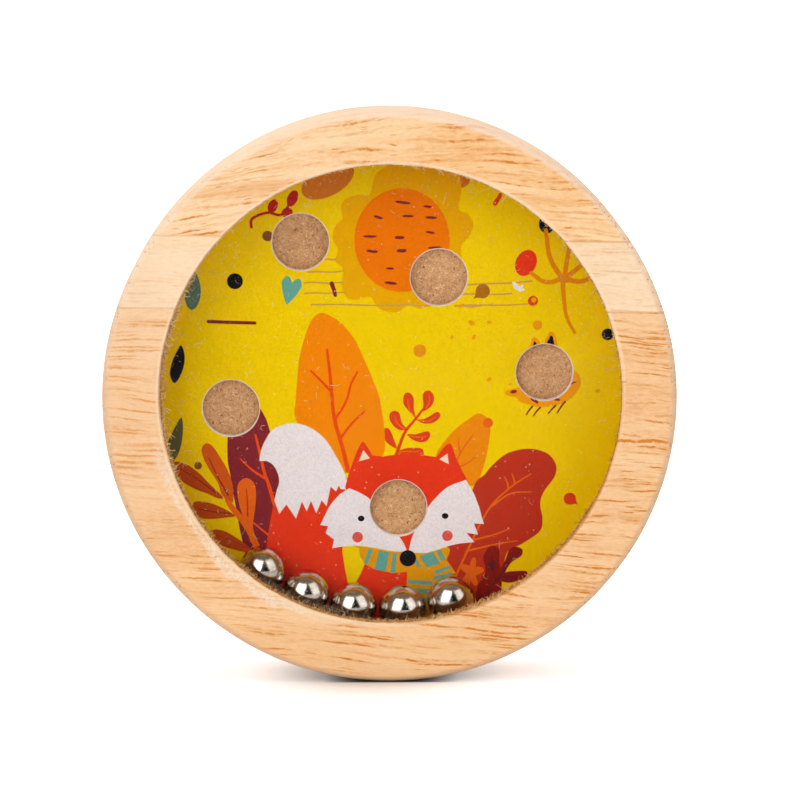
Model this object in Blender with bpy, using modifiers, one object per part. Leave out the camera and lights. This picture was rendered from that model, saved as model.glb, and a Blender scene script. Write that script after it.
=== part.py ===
"""Tilt ball game: a turned wooden ring holding a clear window, a printed play
card with five punched holes, a fibreboard back and five loose steel balls.

The toy stands on its rim. Its disc axis is Y: the window faces -Y, the back
faces +Y, and +Z is up. The origin is the centre of the disc. Metres.
"""

import math

import bmesh
import bpy
from mathutils import Matrix, Vector

# ---------------------------------------------------------------- dimensions
MM = 0.001

FIT = 0.3 * MM               # clearance between neighbouring pieces
WINDOW_T = 1.8 * MM          # clear acrylic disc
CARD_T = 1.5 * MM            # printed card
BACK_T = 3.0 * MM            # fibreboard back, flush with the ring
SHEET_ARRIS = 0.2 * MM       # bevel on the edges of the window and the back

OUTER_R = 47.5 * MM          # wooden ring, outside radius
DEPTH = 18.0 * MM            # edge-glued board stock the ring is cut from
RIM_ROUND = 1.1 * MM         # rounding on the two outside edges
MOUTH_R = 38.2 * MM          # opening in front of the window
MOUTH_ARRIS = 0.45 * MM      # sanded arris around the opening
MOUTH_OFFSET_X = 0.2 * MM    # the mouth is routed a little off centre
MOUTH_OFFSET_Z = 0.65 * MM
LIP = 2.2 * MM               # thickness of the front lip
BORE_R = 41.0 * MM           # chamber in which the balls roll
REBATE_R = 43.0 * MM         # wider rebate for the card and the back
REBATE_DEPTH = BACK_T + FIT + CARD_T + FIT         # from the back face

# Glue joints of the board: height on the disc axis, and slope along +X.
UPPER_JOINT = (26.7 * MM, math.radians(-0.9))
LOWER_JOINT = (14.9 * MM, math.radians(-0.6))
GLUE_GAP = 0.3 * MM

# Punched holes in the card.
HOLE_R = 4.75 * MM
HOLE_CENTRES = (             # (x, z) from the centre of the disc
    (-26.6 * MM, -3.2 * MM),     # left
    (-14.8 * MM, 24.9 * MM),     # top left
    (8.4 * MM, 18.9 * MM),       # top
    (26.2 * MM, 2.8 * MM),       # right
    (1.6 * MM, -20.3 * MM),      # bottom
)

# The balls lie side by side in the bottom of the chamber.
BALL_COUNT = 5
BALL_R = 4.0 * MM            # standard 8 mm steel balls
BALL_GAP = 0.2 * MM          # ball to chamber wall, and ball to card
BALL_SPACING = 0.3 * MM      # between neighbouring balls
TRACK_R = BORE_R - BALL_R - BALL_GAP               # circle of ball centres
BALL_MIDDLE = math.radians(-99.5)                  # middle ball, from +X towards +Z
BALL_PITCH = 2 * math.asin((BALL_R + BALL_SPACING / 2) / TRACK_R)

RING_SEGMENTS = 94           # a facet of the ring, not a corner, lies at the bottom
ROUND_SEGMENTS = 3           # each rounded corner of the ring section
HOLE_SEGMENTS = 36
BALL_SEGMENTS = 24

FRONT_Y = -DEPTH / 2
BACK_Y = DEPTH / 2
LIP_Y = FRONT_Y + LIP                              # inner face of the lip
WINDOW_Y = LIP_Y + FIT                             # front of the window
BACKBOARD_Y = BACK_Y - BACK_T                      # front of the back board
CARD_Y = BACKBOARD_Y - FIT - CARD_T                # front of the card
BALL_Y = CARD_Y - BALL_GAP - BALL_R                # ball centres

# Mesh tolerances.
SEAM_MERGE = 0.01 * MM       # closes the spun ring on itself
CLEANUP_MERGE = 0.005 * MM
LIP_TOLERANCE = 0.01 * MM    # for picking the vertices of the lip

SMOOTH_ANGLE = math.radians(35)      # edges steeper than this stay sharp
BEVEL_ANGLE = math.radians(60)       # only edges steeper than this are bevelled


# ------------------------------------------------------------- scene helpers
def clear_scene():
    for old in list(bpy.data.objects):
        bpy.data.objects.remove(old, do_unlink=True)


def make_collection(name):
    collection = bpy.data.collections.new(name)
    bpy.context.scene.collection.children.link(collection)
    return collection


def material(name, colour, roughness, metallic=0.0, transmission=0.0):
    mat = bpy.data.materials.new(name)
    mat.use_nodes = True
    shader = mat.node_tree.nodes["Principled BSDF"]
    shader.inputs["Base Color"].default_value = (*colour, 1.0)
    shader.inputs["Roughness"].default_value = roughness
    shader.inputs["Metallic"].default_value = metallic
    shader.inputs["Transmission Weight"].default_value = transmission
    mat.diffuse_color = (*colour, 1.0)
    return mat


def wood(name, colour):
    return material(name, colour, roughness=0.55)


def add_object(name, mesh, collection):
    obj = bpy.data.objects.new(name, mesh)
    collection.objects.link(obj)
    return obj


def to_mesh(name, bm):
    """Turn a finished bmesh into a new mesh and free it."""
    mesh = bpy.data.meshes.new(name)
    bm.to_mesh(mesh)
    bm.free()
    return mesh


def add_helper(name, mesh):
    """A construction solid, kept out of the render."""
    obj = add_object(name, mesh, CUTTERS)
    obj.hide_render = True
    obj.display_type = "WIRE"
    return obj


def smooth(obj):
    obj.data.shade_smooth()
    obj.data.set_sharp_from_angle(angle=SMOOTH_ANGLE)


def boolean(obj, cutter, operation):
    mod = obj.modifiers.new(operation.lower(), "BOOLEAN")
    mod.operation = operation
    mod.solver = "EXACT"
    mod.object = cutter


def add_cylinder(bm, radius, length, centre, segments):
    """Add a capped cylinder lying along Y."""
    bmesh.ops.create_cone(
        bm, cap_ends=True, segments=segments, radius1=radius, radius2=radius,
        depth=length,
        matrix=Matrix.Translation(centre) @ Matrix.Rotation(math.radians(90), 4, "X"),
    )


def add_disc(name, radius, front, thickness, mat, bevel=0.0):
    """A round sheet whose front face is at y = front."""
    bm = bmesh.new()
    add_cylinder(bm, radius, thickness, (0, front + thickness / 2, 0), RING_SEGMENTS)
    obj = add_object(name, to_mesh(name, bm), PARTS)
    obj.data.materials.append(mat)
    if bevel:
        edge = obj.modifiers.new("arris", "BEVEL")
        edge.width = bevel
        edge.segments = 1
        edge.limit_method = "ANGLE"
        edge.angle_limit = BEVEL_ANGLE
    smooth(obj)
    return obj


# --------------------------------------------------------------- wooden ring
def rounded_corner(centre_y, start):
    """Quarter round at the rim, as (radius, y) points from the start angle on."""
    centre_r = OUTER_R - RIM_ROUND
    angles = [start + math.radians(90) * k / ROUND_SEGMENTS
              for k in range(ROUND_SEGMENTS + 1)]
    return [(centre_r + RIM_ROUND * math.cos(angle),
             centre_y + RIM_ROUND * math.sin(angle)) for angle in angles]


def ring_profile():
    """Closed section of the ring in (radius, y)."""
    return [
        *rounded_corner(BACK_Y - RIM_ROUND, start=0.0),
        (REBATE_R, BACK_Y),
        (REBATE_R, BACK_Y - REBATE_DEPTH),
        (BORE_R, BACK_Y - REBATE_DEPTH),
        (BORE_R, LIP_Y),
        (MOUTH_R, LIP_Y),
        (MOUTH_R, FRONT_Y + MOUTH_ARRIS),
        (MOUTH_R + MOUTH_ARRIS, FRONT_Y),
        *rounded_corner(FRONT_Y + RIM_ROUND, start=math.radians(270)),
    ]


def spun_ring_mesh():
    """Spin the section around the disc axis and return the resulting mesh."""
    bm = bmesh.new()
    section = [bm.verts.new((radius, y, 0.0)) for radius, y in ring_profile()]
    for start, end in zip(section, section[1:] + section[:1]):
        bm.edges.new((start, end))
    guide = add_object("ring_blank", to_mesh("ring_blank", bm), CUTTERS)

    screw = guide.modifiers.new("spin", "SCREW")
    screw.axis = "Y"
    screw.angle = 2 * math.pi
    screw.steps = RING_SEGMENTS
    screw.render_steps = RING_SEGMENTS
    screw.use_merge_vertices = True
    screw.merge_threshold = SEAM_MERGE
    screw.use_normal_calculate = True

    bpy.context.view_layer.update()
    graph = bpy.context.evaluated_depsgraph_get()
    mesh = bpy.data.meshes.new_from_object(guide.evaluated_get(graph))
    bpy.data.objects.remove(guide, do_unlink=True)
    return mesh


def build_ring_blank():
    """The whole ring in one piece, with its mouth moved off centre."""
    mesh = spun_ring_mesh()
    bm = bmesh.new()
    bm.from_mesh(mesh)
    bmesh.ops.remove_doubles(bm, verts=bm.verts, dist=CLEANUP_MERGE)
    bmesh.ops.recalc_face_normals(bm, faces=bm.faces)
    for vert in bm.verts:
        in_lip = vert.co.y < LIP_Y + LIP_TOLERANCE
        if in_lip and math.hypot(vert.co.x, vert.co.z) < MOUTH_R + 2 * MOUTH_ARRIS:
            vert.co += Vector((MOUTH_OFFSET_X, 0.0, MOUTH_OFFSET_Z))
    bm.to_mesh(mesh)
    bm.free()
    return add_helper("ring_solid", mesh)


def glue_face(joint, side):
    """Glued face above (side = 1) or below (side = -1) a joint."""
    height, slope = joint
    return height + side * GLUE_GAP / 2, slope


def add_slab(name, x_range, below, above):
    """A block between two sloping planes, each (height, slope)."""
    bm = bmesh.new()
    bmesh.ops.create_cube(bm, size=1.0)
    for vert in bm.verts:
        x = x_range[1] if vert.co.x > 0 else x_range[0]
        y = DEPTH if vert.co.y > 0 else -DEPTH
        height, slope = above if vert.co.z > 0 else below
        vert.co = Vector((x, y, height + x * math.tan(slope)))
    return add_helper(name, to_mesh(name, bm))


def build_staves():
    """Cut the ring into its staves; the middle board is in two halves."""
    blank = build_ring_blank()
    reach = OUTER_R * 1.4        # well clear of the ring
    full_width = (-reach, reach)
    middle = (glue_face(LOWER_JOINT, 1), glue_face(UPPER_JOINT, -1))
    pale = (0.87, 0.62, 0.36)
    # place, x range, lower plane, upper plane, colour
    staves = (
        ("top", full_width, glue_face(UPPER_JOINT, 1), (reach, 0.0), (0.80, 0.52, 0.27)),
        ("left", (-reach, 0.0), *middle, pale),
        ("right", (0.0, reach), *middle, pale),
        ("bottom", full_width, (-reach, 0.0), glue_face(LOWER_JOINT, -1), (0.78, 0.50, 0.25)),
    )
    for place, x_range, below, above, colour in staves:
        name = f"ring_{place}_stave"
        stave = add_object(name, blank.data.copy(), PARTS)
        stave.data.materials.append(wood(f"wood_{place}_stave", colour))
        slab = add_slab(name + "_slab", x_range, below, above)
        boolean(stave, slab, "INTERSECT")
        smooth(stave)


# -------------------------------------------------------------- round sheets
def build_window():
    acrylic = material("clear_acrylic", (0.96, 0.98, 0.96), roughness=0.04,
                       transmission=0.95)
    add_disc("window", BORE_R - FIT, WINDOW_Y, WINDOW_T, acrylic, bevel=SHEET_ARRIS)


def build_card():
    printed = material("printed_card", (0.78, 0.58, 0.01), roughness=0.5)
    card = add_disc("play_card", REBATE_R - FIT, CARD_Y, CARD_T, printed)
    bm = bmesh.new()
    for x, z in HOLE_CENTRES:
        # Longer than the card is thick, so each punch passes right through.
        add_cylinder(bm, HOLE_R, CARD_T * 4, (x, CARD_Y + CARD_T / 2, z), HOLE_SEGMENTS)
    boolean(card, add_helper("hole_punches", to_mesh("punches", bm)), "DIFFERENCE")


def build_back():
    fibreboard = material("fibreboard", (0.42, 0.24, 0.12), roughness=0.85)
    add_disc("back_board", REBATE_R - FIT, BACKBOARD_Y, BACK_T, fibreboard,
             bevel=SHEET_ARRIS)


# --------------------------------------------------------------- steel balls
def build_balls():
    """Five balls sharing one mesh, numbered from left to right."""
    bm = bmesh.new()
    bmesh.ops.create_uvsphere(bm, u_segments=BALL_SEGMENTS,
                              v_segments=BALL_SEGMENTS // 2, radius=BALL_R)
    mesh = to_mesh("steel_ball", bm)
    mesh.materials.append(material("polished_steel", (0.62, 0.60, 0.57),
                                   roughness=0.12, metallic=1.0))
    mesh.shade_smooth()
    for number in range(BALL_COUNT):
        angle = BALL_MIDDLE + (number - BALL_COUNT // 2) * BALL_PITCH
        ball = add_object(f"ball_{number + 1}", mesh, PARTS)
        ball.location = (TRACK_R * math.cos(angle), BALL_Y, TRACK_R * math.sin(angle))


clear_scene()
PARTS = make_collection("tilt_ball_game")
CUTTERS = make_collection("cutters")
build_staves()
build_window()
build_card()
build_back()
build_balls()
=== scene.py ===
# A round ball puzzle: a ring glued up from four wooden staves, a clear window, a printed card
# with five holes, five steel balls and a fibreboard back. It stands on its rim with its axis
# along Y: the front faces -Y, +X is right seen from the front, and Z is up.
import math

import bmesh
import bpy
import numpy as np
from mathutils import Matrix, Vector, geometry, noise


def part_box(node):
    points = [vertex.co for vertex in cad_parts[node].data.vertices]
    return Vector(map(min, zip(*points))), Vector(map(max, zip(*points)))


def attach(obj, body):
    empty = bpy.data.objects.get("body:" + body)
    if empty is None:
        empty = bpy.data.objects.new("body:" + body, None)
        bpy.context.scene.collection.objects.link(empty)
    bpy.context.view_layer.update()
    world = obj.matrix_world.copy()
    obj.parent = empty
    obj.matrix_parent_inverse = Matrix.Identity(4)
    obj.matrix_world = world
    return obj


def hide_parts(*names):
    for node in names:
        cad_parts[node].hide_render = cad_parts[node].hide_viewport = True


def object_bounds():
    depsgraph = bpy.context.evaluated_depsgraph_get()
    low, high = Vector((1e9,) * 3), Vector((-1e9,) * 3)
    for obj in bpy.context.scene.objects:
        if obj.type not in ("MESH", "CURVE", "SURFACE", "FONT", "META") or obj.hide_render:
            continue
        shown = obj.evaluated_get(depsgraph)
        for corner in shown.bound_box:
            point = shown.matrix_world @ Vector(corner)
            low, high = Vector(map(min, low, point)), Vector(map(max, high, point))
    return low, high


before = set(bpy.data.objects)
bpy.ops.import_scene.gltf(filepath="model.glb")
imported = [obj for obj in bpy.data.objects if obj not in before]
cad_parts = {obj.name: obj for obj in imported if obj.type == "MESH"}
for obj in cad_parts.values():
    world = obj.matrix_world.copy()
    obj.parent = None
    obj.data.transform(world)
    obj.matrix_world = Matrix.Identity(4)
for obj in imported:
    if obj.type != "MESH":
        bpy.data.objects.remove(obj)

CAD_LO, CAD_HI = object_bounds()
scene = bpy.context.scene

# ---------------------------------------------------------------- dimensions
# All sizes are in millimetres; MM turns them into metres.
MM = 0.001
ROOT = "case"
ring_lo, ring_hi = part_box("ring_bottom_stave")
window_lo, window_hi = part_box("window")
card_lo, card_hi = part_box("play_card")
back_lo, back_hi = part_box("back_board")
FRONT, BACK = ring_lo.y / MM, ring_hi.y / MM
WINDOW_Y0, WINDOW_Y1 = window_lo.y / MM, window_hi.y / MM
CARD_Y0, CARD_Y1 = card_lo.y / MM, card_hi.y / MM
BACK_Y0, BACK_Y1 = back_lo.y / MM, back_hi.y / MM
OUTER_R = CAD_HI.x / MM
REBATE_R = back_hi.x / MM + 0.3
BORE_R = window_hi.x / MM + 0.3
LIP = WINDOW_Y0 - 0.3 - FRONT                # thickness of the front lip
LEDGE = CARD_Y0 - 0.3                        # where the rebate starts
MOUTH_R, ARRIS = 38.2, 0.45                  # opening in the lip and its rounded front edge
MOUTH_X, MOUTH_Z = 0.2, 0.65                 # the opening is slightly off centre
ROUND = 1.1                                  # rounding of the outer edges
# glue planes: height on the axis, slope
UPPER_JOINT = (26.7, math.radians(-0.9))
LOWER_JOINT = (14.9, math.radians(-0.6))
CARD_R = REBATE_R - 0.12
BOARD_R = REBATE_R - 0.10
WINDOW_R = BORE_R - 0.12
HOLE_R = 4.75
HOLES = [(-26.6, -3.2), (-14.8, 24.9), (8.4, 18.9), (26.2, 2.8), (1.6, -20.3)]  # x, z
HOLE_EDGE = 0.16                             # bevelled paper edge round a hole


def srgb(red, green, blue):
    """0-255 display colour to linear."""
    linear = []
    for channel in (red, green, blue):
        level = channel / 255.0
        linear.append(level / 12.92 if level <= 0.04045 else ((level + 0.055) / 1.055) ** 2.4)
    return tuple(linear)


# -------------------------------------------------------------- node helpers
class Field:
    """A node output. Arithmetic on fields adds math nodes to their tree."""

    def __init__(self, shader, output):
        self.shader = shader
        self.output = output
        self.is_vector = output.type == "VECTOR"

    def __add__(self, other):
        return self.shader.combine("ADD", self, other)

    def __radd__(self, other):
        return self.shader.combine("ADD", other, self)

    def __sub__(self, other):
        return self.shader.combine("SUBTRACT", self, other)

    def __rsub__(self, other):
        return self.shader.combine("SUBTRACT", other, self)

    def __mul__(self, other):
        return self.shader.combine("MULTIPLY", self, other)

    def __pow__(self, other):
        return self.shader.combine("POWER", self, other)

    def __abs__(self):
        return self.apply("ABSOLUTE")

    def apply(self, operation, other=None):
        return self.shader.combine(operation, self, other)

    def max(self, other):
        return self.apply("MAXIMUM", other)

    def clamped(self):
        """Makes the math node of this field clamp to 0..1."""
        self.output.node.use_clamp = True
        return self

    def sibling(self, out):
        """Another output of the same node."""
        return Field(self.shader, self.output.node.outputs[out])

    def parts(self, kind):
        """The three parts of a vector ("XYZ") or colour ("Color")."""
        first = self.shader.add("ShaderNodeSeparate" + kind, {0: self})
        return first, first.sibling(1), first.sibling(2)

    def length(self):
        return self.shader.add("ShaderNodeVectorMath", {0: self}, out="Value", operation="LENGTH")

    def turned(self, angle):
        """This vector turned about Y."""
        return self.shader.add("ShaderNodeVectorRotate", {"Vector": self, "Angle": angle},
                               rotation_type="Y_AXIS")

    def noise(self, detail, roughness, scale=1.0, out="Fac"):
        inputs = {"Vector": self, "Scale": scale, "Detail": detail, "Roughness": roughness}
        return self.shader.add("ShaderNodeTexNoise", inputs, out)

    def voronoi(self, scale=1.0, out="Distance", dims="3D"):
        return self.shader.add("ShaderNodeTexVoronoi", {"Vector": self, "Scale": scale}, out,
                               voronoi_dimensions=dims)

    def step(self, low, high):
        """0 below low, 1 above high, smooth between."""
        return self.shader.add("ShaderNodeMapRange",
                               {"Value": self, "From Min": low, "From Max": high},
                               interpolation_type="SMOOTHSTEP")

    def fall(self, low, high):
        """1 below low, 0 above high, smooth between."""
        return 1.0 - self.step(low, high)

    def remap(self, source, target):
        """Linear from the source range to the target range, clamped."""
        return self.shader.add("ShaderNodeMapRange", {
            "Value": self, "From Min": source[0], "From Max": source[1],
            "To Min": target[0], "To Max": target[1]})

    def mix(self, first, second):
        """From the first colour to the second by this factor."""
        return self.shader.add("ShaderNodeMix", {0: self, 6: first, 7: second}, out=2,
                               data_type="RGBA")

    def mix_value(self, first, second):
        return self.shader.add("ShaderNodeMix", {0: self, 2: first, 3: second},
                               data_type="FLOAT")

    def ramp(self, stops):
        """Colour ramp; stops are (position, colour)."""
        field = self.shader.add("ShaderNodeValToRGB", {0: self})
        elements = field.output.node.color_ramp.elements
        while len(elements) < len(stops):
            elements.new(0.5)
        for element, (position, colour) in zip(elements, stops):
            element.position = position
            element.color = (*colour, 1.0)
        return field

    def bump(self, strength, distance):
        """A normal from this height; distance is in metres."""
        return self.shader.add("ShaderNodeBump", {
            "Strength": strength, "Distance": distance, "Height": self})


class Shader:
    """The node tree of a material or world."""

    def __init__(self, owner, output_kind="ShaderNodeOutputMaterial"):
        self.owner = owner
        owner.use_nodes = True
        self.tree = owner.node_tree
        self.tree.nodes.clear()
        self.end = self.tree.nodes.new(output_kind)

    def put(self, socket, value):
        """Links or sets an input; None leaves its default."""
        if isinstance(value, Field):
            self.tree.links.new(value.output, socket)
        elif isinstance(value, tuple) and socket.type == "RGBA":
            socket.default_value = (*value, 1.0)
        elif value is not None:
            socket.default_value = value

    def add(self, kind, inputs=None, out=0, **properties):
        node = self.tree.nodes.new(kind)
        for name, value in properties.items():
            setattr(node, name, value)
        for name, value in (inputs or {}).items():
            self.put(node.inputs[name], value)
        return Field(self, node.outputs[out])

    def combine(self, operation, first, second):
        """A math node, or a vector one when either side is a vector or tuple."""
        if not any(isinstance(side, tuple) or getattr(side, "is_vector", False)
                   for side in (first, second)):
            return self.add("ShaderNodeMath", {0: first, 1: second}, operation=operation)
        if operation == "MULTIPLY" and isinstance(second, (int, float)):
            return self.add("ShaderNodeVectorMath", {0: first, "Scale": second},
                            operation="SCALE")
        return self.add("ShaderNodeVectorMath", {0: first, 1: second}, operation=operation)

    def vector(self, x, y, z):
        return self.add("ShaderNodeCombineXYZ", {0: x, 1: y, 2: z})

    def point(self):
        """Object position in millimetres."""
        return self.add("ShaderNodeTexCoord", out="Object") * 1000.0

    def surface(self, field):
        self.put(self.end.inputs["Surface"], field)
        return self.owner

    def principled(self, **inputs):
        """Ends the tree in a Principled BSDF and returns the material."""
        named = {name.replace("_", " "): value for name, value in inputs.items()}
        return self.surface(self.add("ShaderNodeBsdfPrincipled", named))


def material_shader(name):
    return Shader(bpy.data.materials.new(name))


# ------------------------------------------------------------- wood material
def wood_pores(shader, x, row, stretched, streaks, flecks, keep):
    """Open pores: long thin lines, shorter ones between, fine flecks."""
    ripple = stretched(0.8, 1.0, 1.0).noise(detail=3, roughness=0.6)
    ripple = ripple.remap((0.34, 0.58), (0.35, 1.0))
    crowd = stretched(0.02, 0.12, 0.34).noise(detail=1, roughness=0.5)
    crowd = crowd.remap((0.36, 0.60), (0.55, 1.0))
    ragged_row = row + (stretched(1.3, 0.6, 0.6).noise(detail=2, roughness=0.6) - 0.5) * 0.35

    def streak(along, across, width, rarity, shift=0.0):
        """Cells stretched by frequencies along and across; rarity thins them out."""
        cell = shader.vector(x * along + shift, ragged_row * across + shift * 1.7, 0.0)
        distance = cell.voronoi(dims="2D")
        chance, depth, _ = cell.voronoi(out="Color", dims="2D").parts("Color")
        shown = chance.step(rarity, rarity + 0.05) * depth.remap((0.0, 1.0), (0.30, 1.0))
        return distance.fall(0.10, width) * shown

    long = streak(0.052, 1.30, 0.38, keep).max(streak(0.080, 1.60, 0.38, keep + 0.08, 17.3))
    middling = streak(0.17, 2.1, 0.38, 0.80, 5.1)
    short = streak(0.42, 2.6, 0.42, 0.85, 9.7)
    core = (long * crowd * (1.35 * streaks)).max(middling * (0.75 * streaks))
    return (core * ripple + short * (0.50 * flecks)).clamped()


def rim_marks(colour, point, x, radius, side, stretched):
    """Dark dots and nicks where the rim cuts the pores across.
    Returns the colour, the pinholes and the nicks."""
    cut_across = abs(x).step(20.0, 34.0)
    nick = point * (1.5, 0.95, 1.7)
    chance = nick.voronoi(out="Color").parts("Color")[0]
    nicks = nick.voronoi().fall(0.14, 0.34) * radius.step(46.3, 46.8)
    nicks = nicks * (cut_across * chance.step(0.45, 0.60))
    rings = stretched(0.02, 0.30, 0.55).noise(detail=3, roughness=0.6)
    rings = rings.remap((0.35, 0.65), (0.0, 1.0))
    pinholes = (point * (3.1, 2.6, 3.1)).voronoi().fall(0.12, 0.36)
    pinholes = pinholes * rings * (cut_across * side)
    colour = (cut_across * side * (rings * 0.30)).mix(colour, srgb(226, 172, 122))
    colour = (pinholes * 0.42).mix(colour, srgb(190, 128, 78))
    colour = (nicks * 0.62).mix(colour, srgb(190, 122, 66))
    return colour, pinholes, nicks


def mouth_marks(shader, colour, point, radius, fuzz):
    """An unused first version, replaced by the definition below; it returns the parts of the point."""
    x, y, z = point.parts("XYZ") if False else MOUTH_POINT_PARTS(point)
    return x, y, z


def mouth_radius(shader, x, z):
    return shader.vector(x - MOUTH_X, 0.0, z - MOUTH_Z).length()


def mouth_marks(shader, colour, point, coords, radius, fuzz):
    """A painted highlight on the mouth's sanded front edge, fainter at the lower right; torn grain,
    sawn inner wall and a smear of dried glue.
    Returns the colour, the sawn wall and the smear."""
    x, y, z = coords
    reach = mouth_radius(shader, x, z)
    front = y.fall(FRONT + 0.35, FRONT + 0.6)
    # painted highlight: the rounded front edge of the mouth is drawn pale, faint at the lower right
    arris_highlight = (reach + (fuzz - 0.5) * 0.9).fall(MOUTH_R + 0.35, MOUTH_R + 0.80) * front
    shaded_lower_right = x.step(-8.0, 14.0) * z.fall(-6.0, 12.0)
    colour = (arris_highlight * shaded_lower_right.remap((0, 1), (0.70, 0.10))).mix(colour, srgb(255, 226, 190))
    torn = (reach + (fuzz - 0.5) * 0.5).fall(MOUTH_R + 0.12, MOUTH_R + 0.34)
    upper_left = x.fall(-16.0, -2.0) * z.step(-14.0, 4.0)
    lower_right = x.step(-4.0, 10.0) * z.fall(-20.0, -4.0)
    torn = torn * (upper_left * 0.85).max(lower_right * 0.60)
    colour = torn.mix(colour, srgb(196, 132, 62))
    sawn = (1.0 - front) * radius.fall(43.5, 44.0)
    saw_tone = fuzz.remap((0.3, 0.7), (0.0, 1.0)).mix(srgb(168, 100, 34), srgb(232, 172, 92))
    colour = (sawn * 0.9).mix(colour, saw_tone)
    # the smear lies on the lower left, on the front face only
    angle = (z - MOUTH_Z).apply("ARCTAN2", x - MOUTH_X)
    lower_left = angle.step(-3.05, -2.75) * angle.fall(-2.05, -1.72)
    wobble = ((point * 0.30).noise(detail=3, roughness=0.6) - 0.5) * 3.6
    smear = abs((reach + wobble) - (MOUTH_R + 1.25)).fall(0.10, 1.0)
    smear = smear * lower_left * fuzz.step(0.34, 0.58)
    smear = (smear * front).clamped()
    colour = (smear * 0.72).mix(colour, srgb(254, 240, 222))
    return colour, sawn, smear


def joint_lines(x, z, fuzz, joints):
    """Hairlines at the glue planes."""
    lines = None
    for height, slope in joints:
        offset = z - (height + x * math.tan(slope))
        offset = offset + (fuzz - 0.5) * 0.10
        hairline = abs(offset).fall(0.06, 0.24)
        lines = lines.max(hairline) if lines else hairline
    return lines


def wood(name, tones, pore, lean, seed, joints, bow=0.0, streaks=1.0, flecks=1.0, bands=0.5,
         sway=1.0, keep=0.66, fade=(1.0, 1.0)):
    """Light hardwood with its grain along X. tones are pale, middle and dark; lean (degrees),
    bow and sway shape the grain; bands, streaks and flecks are strengths; keep is the rarity
    of long pores; fade is the pore strength at the left and right."""
    shader = material_shader(name)
    point = shader.point()
    x, y, z = point.parts("XYZ")
    across = z - x * math.tan(math.radians(lean)) - x * x * bow
    slow = shader.vector(x * 0.030, y * 0.05, across * 0.09) + (seed, seed * 0.7, seed * 1.3)
    wave = slow.noise(detail=2, roughness=0.45)
    across = across + (wave - 0.5) * (6.0 * sway)
    wiggle = shader.vector(x * 0.13, y * 0.2, across * 0.30).noise(detail=2, roughness=0.5)
    across = across + (wiggle - 0.5) * 0.9
    deep = y + wave * 2.0 + seed * 3.1
    across = across + seed * 5.7

    def stretched(along_scale, deep_scale, across_scale):
        """Grain coordinates with a frequency for each direction."""
        return shader.vector(x * along_scale, deep * deep_scale, across * across_scale)

    # growth bands, fine grain, the speckle of cut fibres, which also stands for tiny painted
    # highlights, and broad blotches
    band = stretched(0.016, 0.16, 0.36).noise(detail=3, roughness=0.55)
    fine = stretched(0.10, 2.6, 2.2).noise(detail=3, roughness=0.70)
    speckle_and_sheen = stretched(0.9, 3.0, 3.0).noise(detail=3, roughness=0.70)
    blotch = (point * 0.07).noise(detail=2, roughness=0.5)
    tone = (band - 0.5) * (1.7 * bands) + (
        (fine - 0.5) * 0.75 + ((speckle_and_sheen - 0.5) * 1.25 + (blotch - 0.5) * 0.6))
    tone = (tone + 0.45).clamped()
    colour = tone.ramp(list(zip((0.0, 0.5, 1.0), tones)))

    # the sides and rounded edges are sanded pale, with painted light and shade on them
    radius = shader.vector(x, 0.0, z).length()
    side = radius.step(46.15, 46.85)
    patches = (point * 0.8).noise(detail=3, roughness=0.6)
    worn = side * patches.remap((0.3, 0.7), (0.55, 0.95))
    # painted shade and light: the side tone is darker low down and paler higher up
    side_tone_and_shade = z.step(-12.0, 30.0).mix(srgb(228, 190, 156), srgb(249, 222, 198))
    colour = worn.mix(colour, side_tone_and_shade)

    pores = wood_pores(shader, x, across + deep * 0.22, stretched, streaks, flecks, keep)
    pores = pores * side.remap((0.0, 1.0), (1.0, 0.30))
    pores = (pores * x.remap((-40.0, 30.0), fade)).clamped()
    colour = (pores * 0.92).mix(colour, pore)
    colour = (pores.step(0.60, 1.0) * 0.40).mix(colour, srgb(206, 114, 24))

    colour, pinholes, nicks = rim_marks(colour, point, x, radius, side, stretched)
    fuzz = (point * 3.5).noise(detail=4, roughness=0.7)
    colour, sawn, smear = mouth_marks(shader, colour, point, (x, y, z), radius, fuzz)
    joint = joint_lines(x, z, fuzz, joints)
    colour = (joint * fuzz.remap((0.35, 0.65), (0.40, 0.66))).mix(colour, srgb(212, 148, 88))

    # painted light: paler wood at the upper left, where the light falls, and near the floor, where
    # light bounces up from it; the wood is also paler at the far left
    painted_light_upper_left = (point - (-30.0, -9.0, 34.0)).length().fall(8.0, 42.0)
    painted_light_upper_left = painted_light_upper_left * ((1.0 - pores) * tone.remap((0.3, 0.7), (0.54, 0.30)))
    colour = painted_light_upper_left.mix(colour, srgb(255, 228, 192))
    # painted bounce light from the floor on the lower front face
    floor_bounce_light = z.fall(-46.0, -30.0) * (1.0 - side)
    colour = (floor_bounce_light * ((1.0 - pores) * 0.34)).mix(colour, srgb(255, 214, 160))
    far_left = x.fall(-46.0, -30.0) * (1.0 - side)
    colour = (far_left * ((1.0 - pores) * 0.40)).mix(colour, srgb(240, 203, 166))

    height = fine * 0.25 - pores * 0.32 + speckle_and_sheen * 0.20 - pinholes * 0.5 - nicks
    height = height + sawn * fuzz * 3.0 + smear * 0.5 - joint * 0.9
    return shader.principled(
        Base_Color=colour, Roughness=fine.remap((0.2, 0.8), (0.52, 0.68)) - smear * 0.25,
        Normal=height.bump(strength=0.5, distance=0.00012), Specular_IOR_Level=0.25)


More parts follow.
